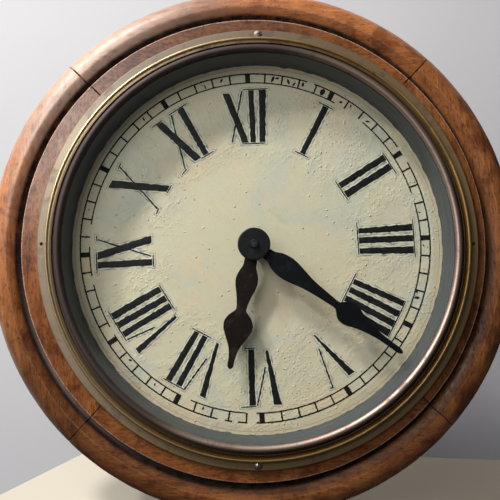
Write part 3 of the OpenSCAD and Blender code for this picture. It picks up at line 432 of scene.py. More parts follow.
def oak_rim_material(colours):
    """Old varnished oak of the surround. Its mesh carries the grain's direction and the masks: dirt in the groove
    with painted shade, dust in the groove, worn arrises with a faint painted highlight line along the torus's crest,
    joint lines and a dark line along the bezel's edge, the stained step, a brightness for each stretch that holds
    painted light and shade along with the wood's own tone, a painted sheen on the upper left of the torus, and matt
    varnish."""
    place, finish = surface("old_varnished_oak", IOR=1.42, Specular_IOR_Level=0.15, Coat_Roughness=0.42)
    grain = add(place.tree, "Attribute", output="Vector", attribute_name="grain")
    soil, dust, arris, joint, step, tone, bloom, matt = (
        add(place.tree, "Attribute", output="Fac", attribute_name=label) for label in RIM_MASKS
    )
    wood, relief, dullness = wood_figure(
        grain, colours.oak_light, colours.oak_mid, colours.oak_dark, colours.oak_pore, 0.95, 0.7
    )
    stain, speck = age_spots(place, 26.0, 0.62, 330.0)
    # tone: brightness of each stretch, painted light and shade along with the wood's own tone
    wood = tint(wood, tone)
    colour = blend(stain * 0.6, wood, tint(wood, srgb(150, 122, 128)))
    mottled = step_up(noise(grain, (150, 360, 360), 5, 0.75), 0.47, 0.6)
    deep = blend(mottled, srgb(240, 236, 232), srgb(132, 98, 98))
    colour = blend(step, colour, tint(colour, deep))
    colour = blend(speck * 0.7, colour, colours.oak_pore)
    colour = blend(dust_film(place, 0.16)[0], colour, srgb(200, 180, 165))
    streaky = step_up(noise(grain, (60, 160, 160), 5, 0.7), 0.32, 0.55, 0.55, 1.0)
    # bloom is a painted sheen: a pale patch on the upper left of the torus in place of the varnish's highlight
    colour = blend(bloom * streaky, colour, srgb(230, 200, 180))
    smear = step_up(noise(place, 90.0, 5, 0.7), 0.3, 0.62, 0.7, 1.0)
    # The groove's dark mask is dirt together with painted shade
    groove, settled = (soil * smear).clamped(), dust * smear
    colour = blend(groove, colour, colours.oak_dirt_and_shade)
    colour = blend(settled, colour, srgb(128, 112, 108))
    scraped = noise(place, 700.0, 3, 0.7)
    # worn carries the worn arrises and the faint painted highlight line along the torus's crest
    worn = (arris * step_up(scraped, 0.4, 0.56)).clamped()
    colour = blend(worn, colour, srgb(222, 196, 178))
    filled = step_up(noise(place, 110.0, 3, 0.6), 0.42, 0.5, 1.0, 0.35)
    colour = blend(joint * filled, colour, srgb(12, 7, 6))
    dull = (dullness * 0.2 + 0.4 + groove * 0.4 + joint * 0.4).clamped()
    uneven = step_up(noise(place, 40.0, 4, 0.6), 0.35, 0.65, -0.07, 0.1)
    coat = step_up(greatest(groove, settled, joint, matt), 0.0, 0.8, 0.6, 0.0)
    return finish(colour, dull + uneven, (scraped * 0.35 + relief, 0.35, 0.0004), Coat_Weight=coat)


def plain_wood_material(name, grain_turn, gloss, light, middle, dark):
    """Wood of the box or the rails: the grain runs along X, or along Z where grain_turn is a quarter turn."""
    place, finish = surface(name, IOR=1.5)
    colour, relief, dullness = wood_figure(
        turned_place(place, grain_turn), light, middle, dark, srgb(38, 24, 16), 1.0, 0.5
    )
    colour = blend(age_spots(place, 12.0, 0.4, 260.0)[0] * 0.5, colour, dark)
    colour = blend(dust_film(place, 0.45)[0], colour, srgb(176, 166, 152))
    return finish(colour, dullness * 0.2 + (1.0 - gloss), (relief, 0.3, 0.0004))


# Spans of radius over which the zones of the turned metal begin or end, in metres
FLANGE_FROM, RIDGE_FROM = (0.2489, 0.2496), (0.2445, 0.2458)
HOLLOW_FROM, HOLLOW_TO, SIGHT_TO = (0.2326, 0.2342), (0.2455, 0.243), (0.2385, 0.237)
UPPER_LEFT = (-0.94, 0.0, 0.34)


def old_brass_material(name, colours, bright, patina, roughness, painted_reflection_share=0.0):
    """Metal turned about the opening's axis, browned by a patina with more brown towards the top, with radial wipe
    marks, rings and stains. The hollow is browned all round. Towards the upper left the flat flange is painted grey
    as a painted reflection and the ridge is kept bright as a painted highlight, and the part next to the glass is
    painted dark as painted shade."""
    place, finish = surface(name)
    radius, angle = ring_place(place, OPENING_X)
    ring_tone, ring_height = lathe_marks(radius, 1900.0)
    wipe_tone, wipe_height = lathe_marks(angle, 210.0)
    stain, speck = age_spots(place, 34.0, 0.55, 500.0)
    flange, raised, inner, outer, sight = (
        step_up(radius, *span) for span in (FLANGE_FROM, RIDGE_FROM, HOLLOW_FROM, HOLLOW_TO, SIGHT_TO)
    )
    ridge = raised - flange
    lean = vector_math("DOT_PRODUCT", place, UPPER_LEFT, output="Value")
    # More brown towards the top
    upper = step_up(split(place)[2], 0.12, 0.25, patina, patina + 0.4)
    cover = (stain * 0.35 + wipe_tone * 0.16 + ring_tone * 0.14 + upper).clamped()
    # Thinner patina on the ridge towards the upper left: a painted highlight
    cover = cover * (1.0 - ridge * step_up(lean, -0.1, 0.1, 0.1, 0.6))
    # Next to the glass, on the upper left, the metal is painted dark brown and less metallic: painted shade
    shaded = step_up(sight * step_up(lean, -0.08, 0.1), 0.0, 1.0, 0.0, 0.95)
    cover = greatest(cover, inner * outer * 0.85, shaded)
    # Grey flange towards the upper left: a painted reflection, also made less metallic
    painted_grey_reflection = flange * step_up(lean, 0.0, 0.22, 0.55 * painted_reflection_share, painted_reflection_share)
    # Paler metal towards the upper left: painted highlight
    colour = blend(step_up(lean, -0.05, 0.2, 0.0, 0.55), bright, srgb(206, 194, 168))
    colour = blend(cover, colour, colours.brass_brown)
    colour = blend(painted_grey_reflection, colour, srgb(116, 102, 88))
    colour = blend(speck * 0.6, colour, srgb(34, 26, 22))
    colour = blend(shaded, colour, srgb(50, 36, 34))
    rough = cover * 0.24 + roughness + ridge * step_up(lean, 0.0, -0.15) * 0.12
    metal = (1.0 - (cover * 0.3 + painted_grey_reflection)).clamped() * (1.0 - shaded * 0.6)
    return finish(colour, rough, (wipe_height * 0.5 + ring_height, 0.12, 0.0002), Metallic=metal)


def drum_material(colours):
    """Dull blue-grey paint with long brush lines round the drum."""
    place, finish = surface("blue_grey_paint", IOR=1.45)
    lines = noise(place, (14, 900, 14), 4, 0.65)
    stain, speck = age_spots(place, 30.0, 0.35, 420.0)
    colour = blend(step_up(lines, 0.3, 0.7), srgb(60, 64, 68), colours.drum_paint)
    colour = blend(stain * 0.3, colour, srgb(92, 92, 88))
    colour = blend(speck * 0.6, colour, srgb(34, 33, 33))
    return finish(colour, step_up(lines, 0.3, 0.7, 0.55, 0.42), (lines, 0.3, 0.0004))


# Radii on the dial, in metres: where the strong brush relief begins, the tan edge begins, and its fine line lies
RELIEF_FROM, EDGE_FROM, EDGE_LINE = (0.09, 0.13), (0.2185, 0.2215), 0.2268


def dial_material(colours):
    """Cream paint laid by brush: faint blue and yellow patches, tan edge, relief, blisters with a painted highlight,
    and dots.
    """
    place, finish = surface("brushed_cream_paint", IOR=1.45, Specular_IOR_Level=0.35)
    radius, _ = ring_place(place, OPENING_X)
    relief, strokes = brush_relief(place, 0.7)
    cool = step_up(noise(place, 11.0, 5, 0.66, 0.8), 0.48, 0.66, 0.0, 0.7)
    warm = step_up(noise(place, 9.0, 5, 0.66, 1.2), 0.48, 0.3, 0.0, 0.75)
    colour = blend(cool, colours.dial_paint, srgb(198, 200, 186))
    colour = blend(warm, colour, srgb(228, 204, 168))
    colour = blend(step_up(strokes, 0.0, 1.0, 0.0, 0.12), colour, srgb(236, 230, 206))
    uneven = noise(place, 70.0, 3, 0.6) * 0.004 + radius
    colour = blend(step_up(uneven, *EDGE_FROM, 0.0, 0.6), colour, colours.dial_edge)
    from_line = calculate("ABSOLUTE", uneven - EDGE_LINE)
    colour = blend(step_up(from_line, 0.0007, 0.0002, 0.0, 0.5), colour, srgb(150, 118, 84))
    colour = blend(age_spots(place, 22.0, 0.3, 190.0)[0] * 0.25, colour, srgb(168, 158, 128))
    dots = step_up(noise(place, 210.0, 1, 0.4), 0.79, 0.8, 0.0, 0.5)
    colour = blend(dots, colour, srgb(84, 80, 70))
    blisters = cells(place, 130.0)
    chosen = step_up(add(place.tree, "SeparateColor", {0: blisters.beside("Color")}), 0.72, 0.74)
    raised = step_up(blisters, 0.2, 0.04) * chosen
    # Blisters are painted paler: a painted highlight on each bump
    colour = blend(raised * 0.5, colour, srgb(240, 234, 214))
    band = step_up(radius, *RELIEF_FROM) * step_up(noise(place, 30.0, 3, 0.6), 0.4, 0.6)
    height = relief * (band * 0.75 + 0.35) + raised * 1.5
    return finish(colour, step_up(strokes, 0.0, 1.0, 0.62, 0.5), (height, 0.9, 0.001))


def flat_paint_material(name, colour, other, roughness, gloss=0.5):
    """Brush-laid paint whose tone wanders between two colours."""
    place, finish = surface(name, IOR=1.45, Specular_IOR_Level=gloss)
    relief, strokes = brush_relief(place, 1.3)
    shade = blend(step_up(noise(place, 120.0, 4, 0.65), 0.4, 0.7), colour, other)
    rough = step_up(strokes, 0.0, 1.0, roughness + 0.1, roughness - 0.05)
    return finish(shade, rough, (relief, 0.35, 0.0004))


def hand_material(name, enamel, worn, wear):
    """Enamelled steel with rubbed patches and a slight orange-peel surface."""
    place, finish = surface(name, IOR=1.5, Specular_IOR_Level=0.25)
    rubbed = step_up(noise(place, 70.0, 5, 0.7), 0.5, 0.66, 0.0, wear)
    colour = blend(rubbed, enamel, worn)
    colour = blend(age_spots(place, 60.0, 0.4, 700.0)[1] * 0.5, colour, srgb(70, 54, 44))
    return finish(colour, rubbed * 0.25 + 0.36, (noise(place, 700.0, 2, 0.5), 0.2, 0.0002))


def boss_material(colours):
    """Black enamelled boss with turning rings about the hands' axis."""
    place, finish = surface("turned_black_boss", IOR=1.5, Specular_IOR_Level=0.3)
    tone, height = lathe_marks(ring_place(place, 0.0)[0], 1500.0)
    rubbed = step_up(noise(place, 150.0, 4, 0.7), 0.5, 0.66, 0.0, 0.5)
    colour = blend(rubbed, blend(tone, colours.minute_enamel, srgb(26, 26, 28)), srgb(42, 40, 39))
    return finish(colour, step_up(tone, 0.0, 1.0, 0.42, 0.3), (height, 0.25, 0.0003))


def metal_material(name, colour, tarnish, roughness, scratch_turn=0.0, cover=0.4):
    """Plain metal with fine brushed lines, tarnish and specks."""
    place, finish = surface(name)
    lines = noise(turned_place(place, scratch_turn), (60, 2400, 2400), 3, 0.6)
    stain, speck = age_spots(place, 55.0, cover, 900.0)
    (dust,) = dust_film(place, 0.25)
    mask = step_up(lines, 0.3, 0.7) * 0.15 + stain * 0.5
    shade = blend(speck * 0.5, blend(mask, colour, tarnish), srgb(40, 34, 28))
    shade = blend(dust, shade, srgb(150, 142, 130))
    metal = (1.0 - (mask * 0.25 + dust)).clamped()
    return finish(shade, mask * 0.3 + roughness + dust, (lines, 0.12, 0.0002), Metallic=metal)


def iron_material(name, colour, rust, roughness):
    """Blackened iron with a forged skin and rust in the hollows."""
    place, finish = surface(name, IOR=1.5)
    forged = noise(place, 240.0, 4, 0.65)
    rusty = step_up(noise(place, 90.0, 5, 0.7), 0.52, 0.66, 0.0, 0.75)
    shade = blend(rusty, blend(forged, colour, srgb(70, 68, 66)), rust)
    rough = step_up(forged, 0.3, 0.7, roughness, roughness + 0.2)
    return finish(shade, rough, (forged, 0.4, 0.0005), Metallic=step_up(rusty, 0.0, 0.5, 0.55, 0.0))


# Distance between two turns of the winding's wire, and between two threads of the leads' braid, in metres
WIRE_PITCH, THREAD_PITCH = 0.0005, 0.0007


def winding_material():
    """Varnished wire winding: close rings along Z with a wrapped, uneven lustre and painted shade between the turns.
    """
    place, finish = surface("wound_red_wire", IOR=1.5, Coat_Weight=0.4, Coat_Roughness=0.2)
    wire = ripple(split(place)[2], WIRE_PITCH)
    patches = step_up(noise(place, 90.0, 4, 0.6), 0.35, 0.7)
    shade = blend(patches, srgb(126, 38, 26), srgb(78, 22, 18))
    # Near-black in the troughs between the turns: painted shade
    shade = blend(step_up(wire, -1.0, -0.4, 0.5, 0.0), shade, srgb(30, 8, 8))
    return finish(shade, step_up(patches, 0.0, 1.0, 0.45, 0.3), (wire, 0.4, 0.0002))


def ebonite_material():
    """Brown-black moulded ebonite, slightly bloomed."""
    place, finish = surface("old_ebonite", IOR=1.5)
    bloom = step_up(noise(place, 45.0, 5, 0.65), 0.4, 0.7)
    shade = blend(bloom, srgb(24, 21, 20), srgb(58, 50, 40))
    shade = blend(dust_film(place, 0.4)[0], shade, srgb(140, 132, 122))
    return finish(shade, step_up(bloom, 0.0, 1.0, 0.38, 0.6), (noise(place, 900.0, 2, 0.5), 0.15, 0.0002))


def braid_material():
    """Cotton-braided lead: two crossing sets of fine diagonal threads."""
    place, finish = surface("green_braided_lead", IOR=1.45, Sheen_Weight=0.3)
    x, _, z = split(place)
    weave = ripple(x + z, THREAD_PITCH) * ripple(x - z, THREAD_PITCH)
    soiled = step_up(noise(place, 130.0, 4, 0.6), 0.4, 0.7)
    shade = blend(step_up(weave, -0.6, 0.6), srgb(28, 52, 34), srgb(70, 98, 66))
    shade = blend(soiled * 0.4, shade, srgb(92, 84, 62))
    return finish(shade, step_up(soiled, 0.0, 1.0, 0.8, 0.95), (weave, 0.5, 0.0002))


def glass_material():
    """Clear flat glass; light passes straight through, so that the dial stays lit as it would be without it."""
    material, shader = new_material(
        "flat_glass", Roughness=0.015, IOR=1.45, Transmission_Weight=1.0, Base_Color=srgb(250, 252, 251)
    )
    ray = add(material.node_tree, "LightPath").beside
    mirrored = (ray("Is Glossy Ray") - ray("Is Transmission Ray")).clamped()
    let_through(shader, greatest(ray("Is Shadow Ray"), ray("Is Diffuse Ray"), mirrored), (0.97, 0.98, 0.975))
    return material


def backdrop_material(name, colour, painted_shade_right):
    """Matt backdrop paint that only the camera sees, and only from the front. Its colour shifts towards a second
    colour on the right, which on the floor is a painted shadow.
    """
    material, shader = new_material(name, Roughness=0.9, IOR=1.4)
    tree = material.node_tree
    place = add(tree, "TexCoord", output="Object")
    mottle = step_up(noise(place, 3.0, 3, 0.5), 0.3, 0.7, 0.97, 1.0)
    across = step_up(split(place)[0], -0.2, 0.3)
    fill(shader, {"Base Color": tint(blend(across, colour, painted_shade_right), mottle)})
    ray = add(tree, "LightPath").beside
    unseen = 1.0 - greatest(ray("Is Camera Ray"), ray("Is Transmission Ray"))
    let_through(shader, greatest(add(tree, "NewGeometry", output="Backfacing"), unseen))
    return material


# Mesh helpers


def skin(points, closed_along):
    """Closed surface over a grid of points: the second direction closes on itself, and open ends get a flat cap.
    The faces are turned round where the enclosed signed volume comes out negative."""
    along, around = points.shape[:2]
    i = np.arange(along if closed_along else along - 1)[:, None]
    j = np.arange(around)[None, :]
    k, n = (i + 1) % along, (j + 1) % around
    quads = np.stack([i * around + j, i * around + n, k * around + n, k * around + j], -1).reshape(-1, 4)
    caps = [] if closed_along else [np.arange(around)[::-1], np.arange(around) + (along - 1) * around]
    flat = points.reshape(-1, 3)
    centred = flat - flat.mean(0)
    fans = [np.stack([np.full(around - 2, cap[0]), cap[1:-1], cap[2:]], -1) for cap in caps]
    triangles = np.concatenate([quads[:, [0, 1, 2]], quads[:, [0, 2, 3]], *fans])
    corners = centred[triangles]
    volume = np.einsum("ij,ij->", corners[:, 0], np.cross(corners[:, 1], corners[:, 2]))
    if volume < 0:
        quads, caps = quads[:, ::-1], [cap[::-1] for cap in caps]
    return flat, quads.tolist() + [cap.tolist() for cap in caps]


def new_piece(name, parts, material, sharp_angle=40.0, values=None):
    """Mesh object from closed surfaces, with smooth faces, sharp edges by angle and its own point values."""
    points = np.concatenate([part[0] for part in parts])
    starts = np.cumsum([0] + [len(part[0]) for part in parts[:-1]])
    faces = [
        [index + int(start) for index in face] for (_, part_faces), start in zip(parts, starts) for face in part_faces
    ]
    mesh = bpy.data.meshes.new(name)
    mesh.from_pydata(points.tolist(), [], faces)
    for label, value in (values or {}).items():
        kind, field = ("FLOAT_VECTOR", "vector") if value.ndim == 2 else ("FLOAT", "value")
        store = mesh.attributes.new(label, kind, "POINT")
        store.data.foreach_set(field, value.astype(np.float32).ravel())
    mesh.polygons.foreach_set("use_smooth", np.ones(len(mesh.polygons), bool))
    mesh.set_sharp_from_angle(angle=math.radians(sharp_angle))
    mesh.materials.append(material)
    mesh.validate()
    piece = bpy.data.objects.new(name, mesh)
    bpy.context.scene.collection.objects.link(piece)
    return piece


def around_axis(profile, turns, centre_x):
    """Points of a profile (radius, height) carried round an axis along Y: x = centre + r sin, y = -height and
    z = r cos."""
    radius, height = profile[..., 0], profile[..., 1]
    turns = np.asarray(turns)[:, None]
    radius, height = np.broadcast_arrays(radius, height)
    shape = np.broadcast_shapes(radius.shape, turns.shape)
    return np.stack(
        [centre_x + radius * np.sin(turns), np.broadcast_to(-height, shape), radius * np.cos(turns)], -1
    )


def full_turn(stations):
    """Angles of evenly spaced stations round a whole turn, in radians."""
    return np.linspace(0, 2 * np.pi, stations, endpoint=False)


def arc(centre, radius, first, last, count):
    """Points on a circle of the section plane, from one angle to another in degrees."""
    angles = np.radians(np.linspace(first, last, count))
    return np.stack([centre[0] + radius * np.cos(angles), centre[1] + radius * np.sin(angles)], -1)


def eased(corners, ease, count=4):
    """Closed outline whose corners are replaced by quadratic arcs that start at most `ease` from the corner."""
    corners = np.asarray(corners, float)
    before, after = np.roll(corners, 1, 0) - corners, np.roll(corners, -1, 0) - corners
    length_before = np.linalg.norm(before, axis=1, keepdims=True)
    length_after = np.linalg.norm(after, axis=1, keepdims=True)
    start = corners + before / length_before * np.minimum(ease, length_before * 0.4)
    end = corners + after / length_after * np.minimum(ease, length_after * 0.4)
    t = np.linspace(0, 1, count)[None, :, None]
    curve = (1 - t) ** 2 * start[:, None] + 2 * t * (1 - t) * corners[:, None] + t**2 * end[:, None]
    return curve.reshape(-1, 2)


def wander(place, seed, waves, low, high):
    """Smooth pseudo-random line between about -1 and 1: a sum of sines with seeded phases and pitches."""
    random = np.random.default_rng(seed)
    pitch = random.uniform(low, high, waves)
    phase = random.uniform(0, 2 * np.pi, waves)
    place = np.asarray(place, float)[..., None]
    return np.sin(place * pitch + phase).sum(-1) / math.sqrt(waves)


# Surround

# Section of the surround (radius, height out of the wall), in millimetres
FOOT_RADIUS, FOOT_TOP, TORUS_MID, TORUS_HEIGHT, TORUS_RADIUS = 317.5, 101.97, 301.0, 118.0, 23.0
BACK_HEIGHT, GROOVE_HEIGHT, STEP_HEIGHT = 92.0, 128.0, 148.0
WELL_RADIUS, REBATE_RADIUS, REBATE_HEIGHT = 232.5, 246.0, 123.2
CREASE_ANGLE, TORUS_HOLLOW = 99.0, 1.0
FOOT = ((FOOT_RADIUS - 1.2, BACK_HEIGHT), (FOOT_RADIUS, BACK_HEIGHT + 1.2), (FOOT_RADIUS, 97.0))
STEP_RADIUS, STEP_END = 275.5, 273.5
STEP_WALL = (
    (279.5, 128.0), (278.0, 129.3), (276.5, 131.0), (276.2, 136.0), (275.9, 141.0), (275.6, 145.6),
    (STEP_RADIUS, 146.8), (274.95, 147.55), (274.3, STEP_HEIGHT), (STEP_END, STEP_HEIGHT),
)
# Points of the flat step, as shares of the way from the bezel's edge to the step's end
STEP_SHARES = (0.85, 0.6, 0.35, 0.15, 0.07, 0.02, -0.05)
# Middles of the worn arris, of the faint painted highlight line along the torus's crest and of the dust in the
# groove, and where the torus's outer face begins
ARRIS_RADIUS, CREST_RADIUS, DUST_RADIUS, OUTER_FACE = 274.9, 297.0, 282.6, 296.5
# Brightness factor of the wood on the torus and on the step, by clock angle in degrees, set to how light or dark each
# stretch looks: it holds painted light and shade along with the wood's own tone
TONE_TURNS = (0, 40, 90, 180, 208, 240, 262, 285, 320, 345, 360)
TONES = (1.5, 1.0, 0.65, 0.85, 0.52, 0.45, 1.1, 1.5, 0.62, 0.8, 1.4)
STEP_TONES = (0.55, 0.9, 0.45, 0.8, 0.8, 0.75, 0.9, 0.95, 0.62, 0.6, 0.55)
RIM_MASKS = ("soil", "dust", "arris", "joint", "step", "tone", "bloom", "matt")
RIM_JOINTS = (43.0, 132.3, 223.3, 314.2)
RIM_NAMES = ("surround_right", "surround_bottom", "surround_left", "surround_top")
# Stations of a segment: distances from its end in millimetres, and the number between
NEAR_JOINT, RIM_STATIONS = (0, 0.3, 0.7, 1.1, 1.8, 3.0, 5.0), 170
# Radius at which lengths along the rim are measured, and how far from a segment's end the edge is rounded, and dark
RIM_MEAN, EASE_REACH, JOINT_DARK, JOINT_FADE = 290 * MM, 0.8 * MM, 0.95 * MM, 0.45 * MM


def bored_radius(turns, radius):
    """Distance from the surround's axis to a circle about the opening's own axis, in the direction of each angle."""
    shift = OPENING_X / MM
    return shift * np.sin(turns) + np.sqrt(radius**2 - (shift * np.cos(turns)) ** 2)


def worn_torus(first, last, count):
    """The torus, scraped to two faintly hollow faces that meet on its crease: the radius loses up to TORUS_HOLLOW by
    a half sine from the outer edge to the crease, and by another from there to the groove."""
    angles = np.linspace(first, last, count)
    angles[np.argmin(np.abs(angles - CREASE_ANGLE))] = CREASE_ANGLE
    share = np.interp(angles, [first, 15.0, CREASE_ANGLE, last], [0.0, 0.0, 1.0, 2.0])
    radius = TORUS_RADIUS - TORUS_HOLLOW * np.abs(np.sin(np.pi * share))
    turned = np.radians(angles)
    return np.stack([TORUS_MID + radius * np.cos(turned), TORUS_HEIGHT + radius * np.sin(turned)], -1)


def bell(turns, middle, width):
    """Rises to 1 at the clock angle `middle` and falls off over `width`, both in degrees."""
    return np.exp(-(((turns - math.radians(middle)) / math.radians(width)) ** 2))[:, None]


def peak(radius, middle, reach):
    """Falls from 1 at a radius to 0 at a distance of `reach`."""
    return np.clip(1 - np.abs(radius - middle) / reach, 0, 1)


def rim_section(turns):
    """Section points for each angle, and the masks that go with them. The outside is the same all round, the flat
    step's points are spaced out from the bezel's edge, and the bored opening follows its own centre."""
    drop = GROOVE_HEIGHT - TORUS_HEIGHT
    foot_angle = math.degrees(math.atan2(FOOT_TOP - TORUS_HEIGHT, FOOT_RADIUS - TORUS_MID))
    quirk_angle = math.degrees(math.atan2(drop, -math.sqrt(TORUS_RADIUS**2 - drop**2)))
    fixed = np.concatenate([FOOT, worn_torus(foot_angle, quirk_angle, 56), STEP_WALL])
    outside = np.broadcast_to(fixed, (len(turns), *fixed.shape))
    bezel_edge, well, rebate = (
        bored_radius(turns, radius)[:, None] for radius in (BEZEL_RADIUS / MM, WELL_RADIUS, REBATE_RADIUS)
    )
    step = bezel_edge + np.array(STEP_SHARES) * (STEP_END - bezel_edge)
    radii = np.concatenate([step, well, well, rebate, rebate], 1)
    heights = [STEP_HEIGHT] * (len(STEP_SHARES) + 1) + [REBATE_HEIGHT, REBATE_HEIGHT, BACK_HEIGHT]
    section = np.concatenate([outside, np.stack([radii, np.broadcast_to(heights, radii.shape)], -1)], 1)
    radius, height = section[..., 0], section[..., 1]

    # Dark groove mask: dirt in the groove, with painted shade on its floor and on the torus's inner flank, reaching
    # less high on the right; the back below the foot is painted half dark as shade
    dark_groove_top = 137.0 - 5.0 * bell(turns % (2 * math.pi), 100, 55)
    soil = ((radius < 292) & (radius > 273.9)) * np.clip((dark_groove_top - height) / 1.6, 0, 1)
    soil = np.maximum(soil, (radius < 276.6) * (height < 147) * np.clip((146.6 - height) / 2.0, 0, 1))
    soil = np.maximum(soil, (height < 100) * 0.5)
    arris = peak(radius, ARRIS_RADIUS, 0.95) * (height > 146.2)
    # A faint painted highlight line along the torus's crest, carried in the arris mask
    painted_crest_highlight = peak(radius, CREST_RADIUS, 1.4) * (height > 139) * 0.09
    tone, step_tone = (
        np.interp(np.degrees(turns) % 360, TONE_TURNS, tones)[:, None] for tones in (TONES, STEP_TONES)
    )
    return section, {
        "soil": soil,
        "dust": peak(radius, DUST_RADIUS, 2.6) ** 0.5 * (height < 137) * bell(turns, 236, 24),
        "arris": np.maximum(arris, painted_crest_highlight),
        # The joint mask also darkens a thin line on the step along the bezel's edge
        "joint": peak(radius, bezel_edge + 0.2, 1.1) * (height > 147.9),
        "step": np.clip((275.2 - radius) / 1.5, 0, 1) * (height > 147) * (0.4 + 0.6 * bell(turns, 318, 36)),
        # The torus's inner face is painted darker than its outer face: painted shade towards the groove
        "tone": np.where(radius < STEP_RADIUS, step_tone, tone * np.where(radius < OUTER_FACE, 0.86, 1.06)),
        # Painted sheen: a pale patch on the torus's upper left, standing in for the varnish's highlight
        "bloom": np.clip((radius - 285.5) / 5, 0, 1) * (height > 112) * bell(turns, 318, 27) * 0.6,
        "matt": np.clip((304.0 - radius) / 5.0, 0, 1) * np.clip(1.4 - 2.4 * bell(turns, 325, 60), 0, 1),
    }


def rim_segment(start, sweep, sizes, seed):
    """Points and masks of one segment between two joints, in metres."""
    gap_turn = sizes.joint_gap / RIM_MEAN
    near_end = np.array(NEAR_JOINT) * MM / RIM_MEAN
    length = math.radians(sweep) - 2 * gap_turn
    middle = np.linspace(near_end[-1], length - near_end[-1], RIM_STATIONS)[1:-1]
    local = np.concatenate([near_end, middle, (length - near_end)[::-1]])
    turns = math.radians(start) + gap_turn + local
    section, masks = rim_section(turns)
    tangent = np.roll(section, -1, 1) - np.roll(section, 1, 1)
    normal = np.stack([tangent[..., 1], -tangent[..., 0]], -1)
    normal /= np.linalg.norm(normal, axis=-1, keepdims=True)
    to_end = np.minimum(local, length - local) * RIM_MEAN
    ease = np.clip(1 - to_end / EASE_REACH, 0, 1) ** 2 * sizes.joint_ease
    wobble = wander(local[:, None] * 6 + section[..., 0] * 0.05, seed, 5, 3, 11) * sizes.wobble
    dents = np.clip(wander(turns, seed + 40, 7, 60, 330) - 1.15, 0, 1) * sizes.dent_depth
    push = wobble - dents[:, None] * (masks["arris"] > 0.6) - ease[:, None]
    shown = np.zeros(section.shape[1], bool)
    shown[1:-5] = True
    moved = section * MM + normal * (push * shown)[..., None]
    points = around_axis(moved, turns, 0.0)
    chord = math.radians(start + sweep / 2)
    along = points[..., 0] * math.cos(chord) - points[..., 2] * math.sin(chord)
    across = points[..., 0] * math.sin(chord) + points[..., 2] * math.cos(chord)
    grain = np.stack([along + seed * 0.7, across + seed * 0.31, points[..., 1]], -1)
    at_joint = np.clip((JOINT_DARK - to_end) / JOINT_FADE, 0, 1)[:, None]
    masks["joint"] = np.maximum(at_joint, masks["joint"])
    return points, {"grain": grain.reshape(-1, 3), **{label: masks[label].ravel() for label in RIM_MASKS}}


class ClockSurround(bpy.types.Operator):
    """Build the four turned oak segments of the surround"""

    bl_idname = "clock.surround"
    bl_label = "Surround"

    def execute(self, context):
        sizes, oak = context.scene.clock_sizes, oak_rim_material(context.scene.clock_colours)
        for index, name in enumerate(RIM_NAMES):
            start = RIM_JOINTS[index]
            sweep = (RIM_JOINTS[(index + 1) % 4] - start) % 360
            points, values = rim_segment(start, sweep, sizes, index + 1)
            piece = new_piece("turned_" + name, [skin(points, False)], oak, 30.0, values)
            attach(piece, "case")
            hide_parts(name)
        return {"FINISHED"}


# Bezel, sight ring, glass and drum

# Section of the bezel's parts about the opening's axis, in millimetres
FLANGE_TOP, RIDGE_HEIGHT, RIDGE_RADIUS, RIDGE_MID = 152.5, 156.6, 1.9, 247.5
LIP = (239.2, 162.6)
SEAT_HEIGHT, GLASS_TOP = 160.0, 163.0
BEAD_MID, BEAD_RADIUS = 232.3, 4.3
HOLLOW_RADIUS = 8.0
BEZEL_SCREW_AT = 254.35
DRILL = ((0.02, 146.0), (2.0, 146.0), (2.0, 154.0), (0.02, 154.0))
SEAT_RADIUS, DRUM_TOP, DRUM_FOOT = 235.6, 157.2, 1.2
# Turns of the bezel's and the drills' first points, in radians, which keep them off each other's planes
BEZEL_SEAM, DRILL_SEAM = 0.005, 0.07
RING_STATIONS, SHARP_BRASS = 400, 32.0


def turned_ring(outline, seam=0.0):
    """Closed ring about the opening's axis, from its section in millimetres."""
    return skin(around_axis(outline * MM, full_turn(RING_STATIONS) + seam, OPENING_X), True)


def hollow_curve(count):
    """Concave arc of the bezel between its ridge and its lip, from the ridge inwards."""
    first, last = np.array([RIDGE_MID - RIDGE_RADIUS, RIDGE_HEIGHT]), np.array(LIP)
    chord = last - first
    half = np.linalg.norm(chord) / 2
    away = math.sqrt(HOLLOW_RADIUS**2 - half**2)
    centre = (first + last) / 2 + away * np.array([chord[1], -chord[0]]) / (2 * half)
    angles = np.arctan2(*(np.array([first, last]) - centre).T[::-1])
    return arc(centre, HOLLOW_RADIUS, *np.degrees(np.unwrap(angles)), count)


def bezel_outline():
    """Closed section of the bezel: flange, ridge, hollow, lip and the ledge under the glass."""
    ridge = arc((RIDGE_MID, RIDGE_HEIGHT), RIDGE_RADIUS, 0, 180, 16)
    hollow = hollow_curve(16)[1:-1]
    lip = arc((LIP[0] + 0.25, LIP[1] - 0.35), 0.35, 60, 180, 5)
    rest = eased(
        [
            [LIP[0] - 0.1, SEAT_HEIGHT], [230.4, SEAT_HEIGHT], [230.4, 157.6], [237.2, 157.6],
            [240.7, 155.0], [245.6, STEP_HEIGHT], [BEZEL_RADIUS / MM, STEP_HEIGHT],
            [BEZEL_RADIUS / MM, FLANGE_TOP - 1.5], [BEZEL_RADIUS / MM - 1.5, FLANGE_TOP], [249.6, FLANGE_TOP],
        ],
        0.35,
    )
    return np.concatenate([ridge, hollow, lip, rest])


def cut_holes(piece, cutters):
    """Takes the cutters out of a piece and removes them."""
    for number, cutter in enumerate(cutters):
        cut = piece.modifiers.new(f"hole_{number}", "BOOLEAN")
        cut.operation, cut.solver, cut.object = "DIFFERENCE", "EXACT", cutter
    bpy.context.view_layer.update()
    shaped = bpy.data.meshes.new_from_object(piece.evaluated_get(bpy.context.evaluated_depsgraph_get()))
    piece.modifiers.clear()
    old, piece.data = piece.data, shaped
    bpy.data.meshes.remove(old)
    for cutter in cutters:
        bpy.data.objects.remove(cutter)
    piece.data.set_sharp_from_angle(angle=math.radians(SHARP_BRASS))


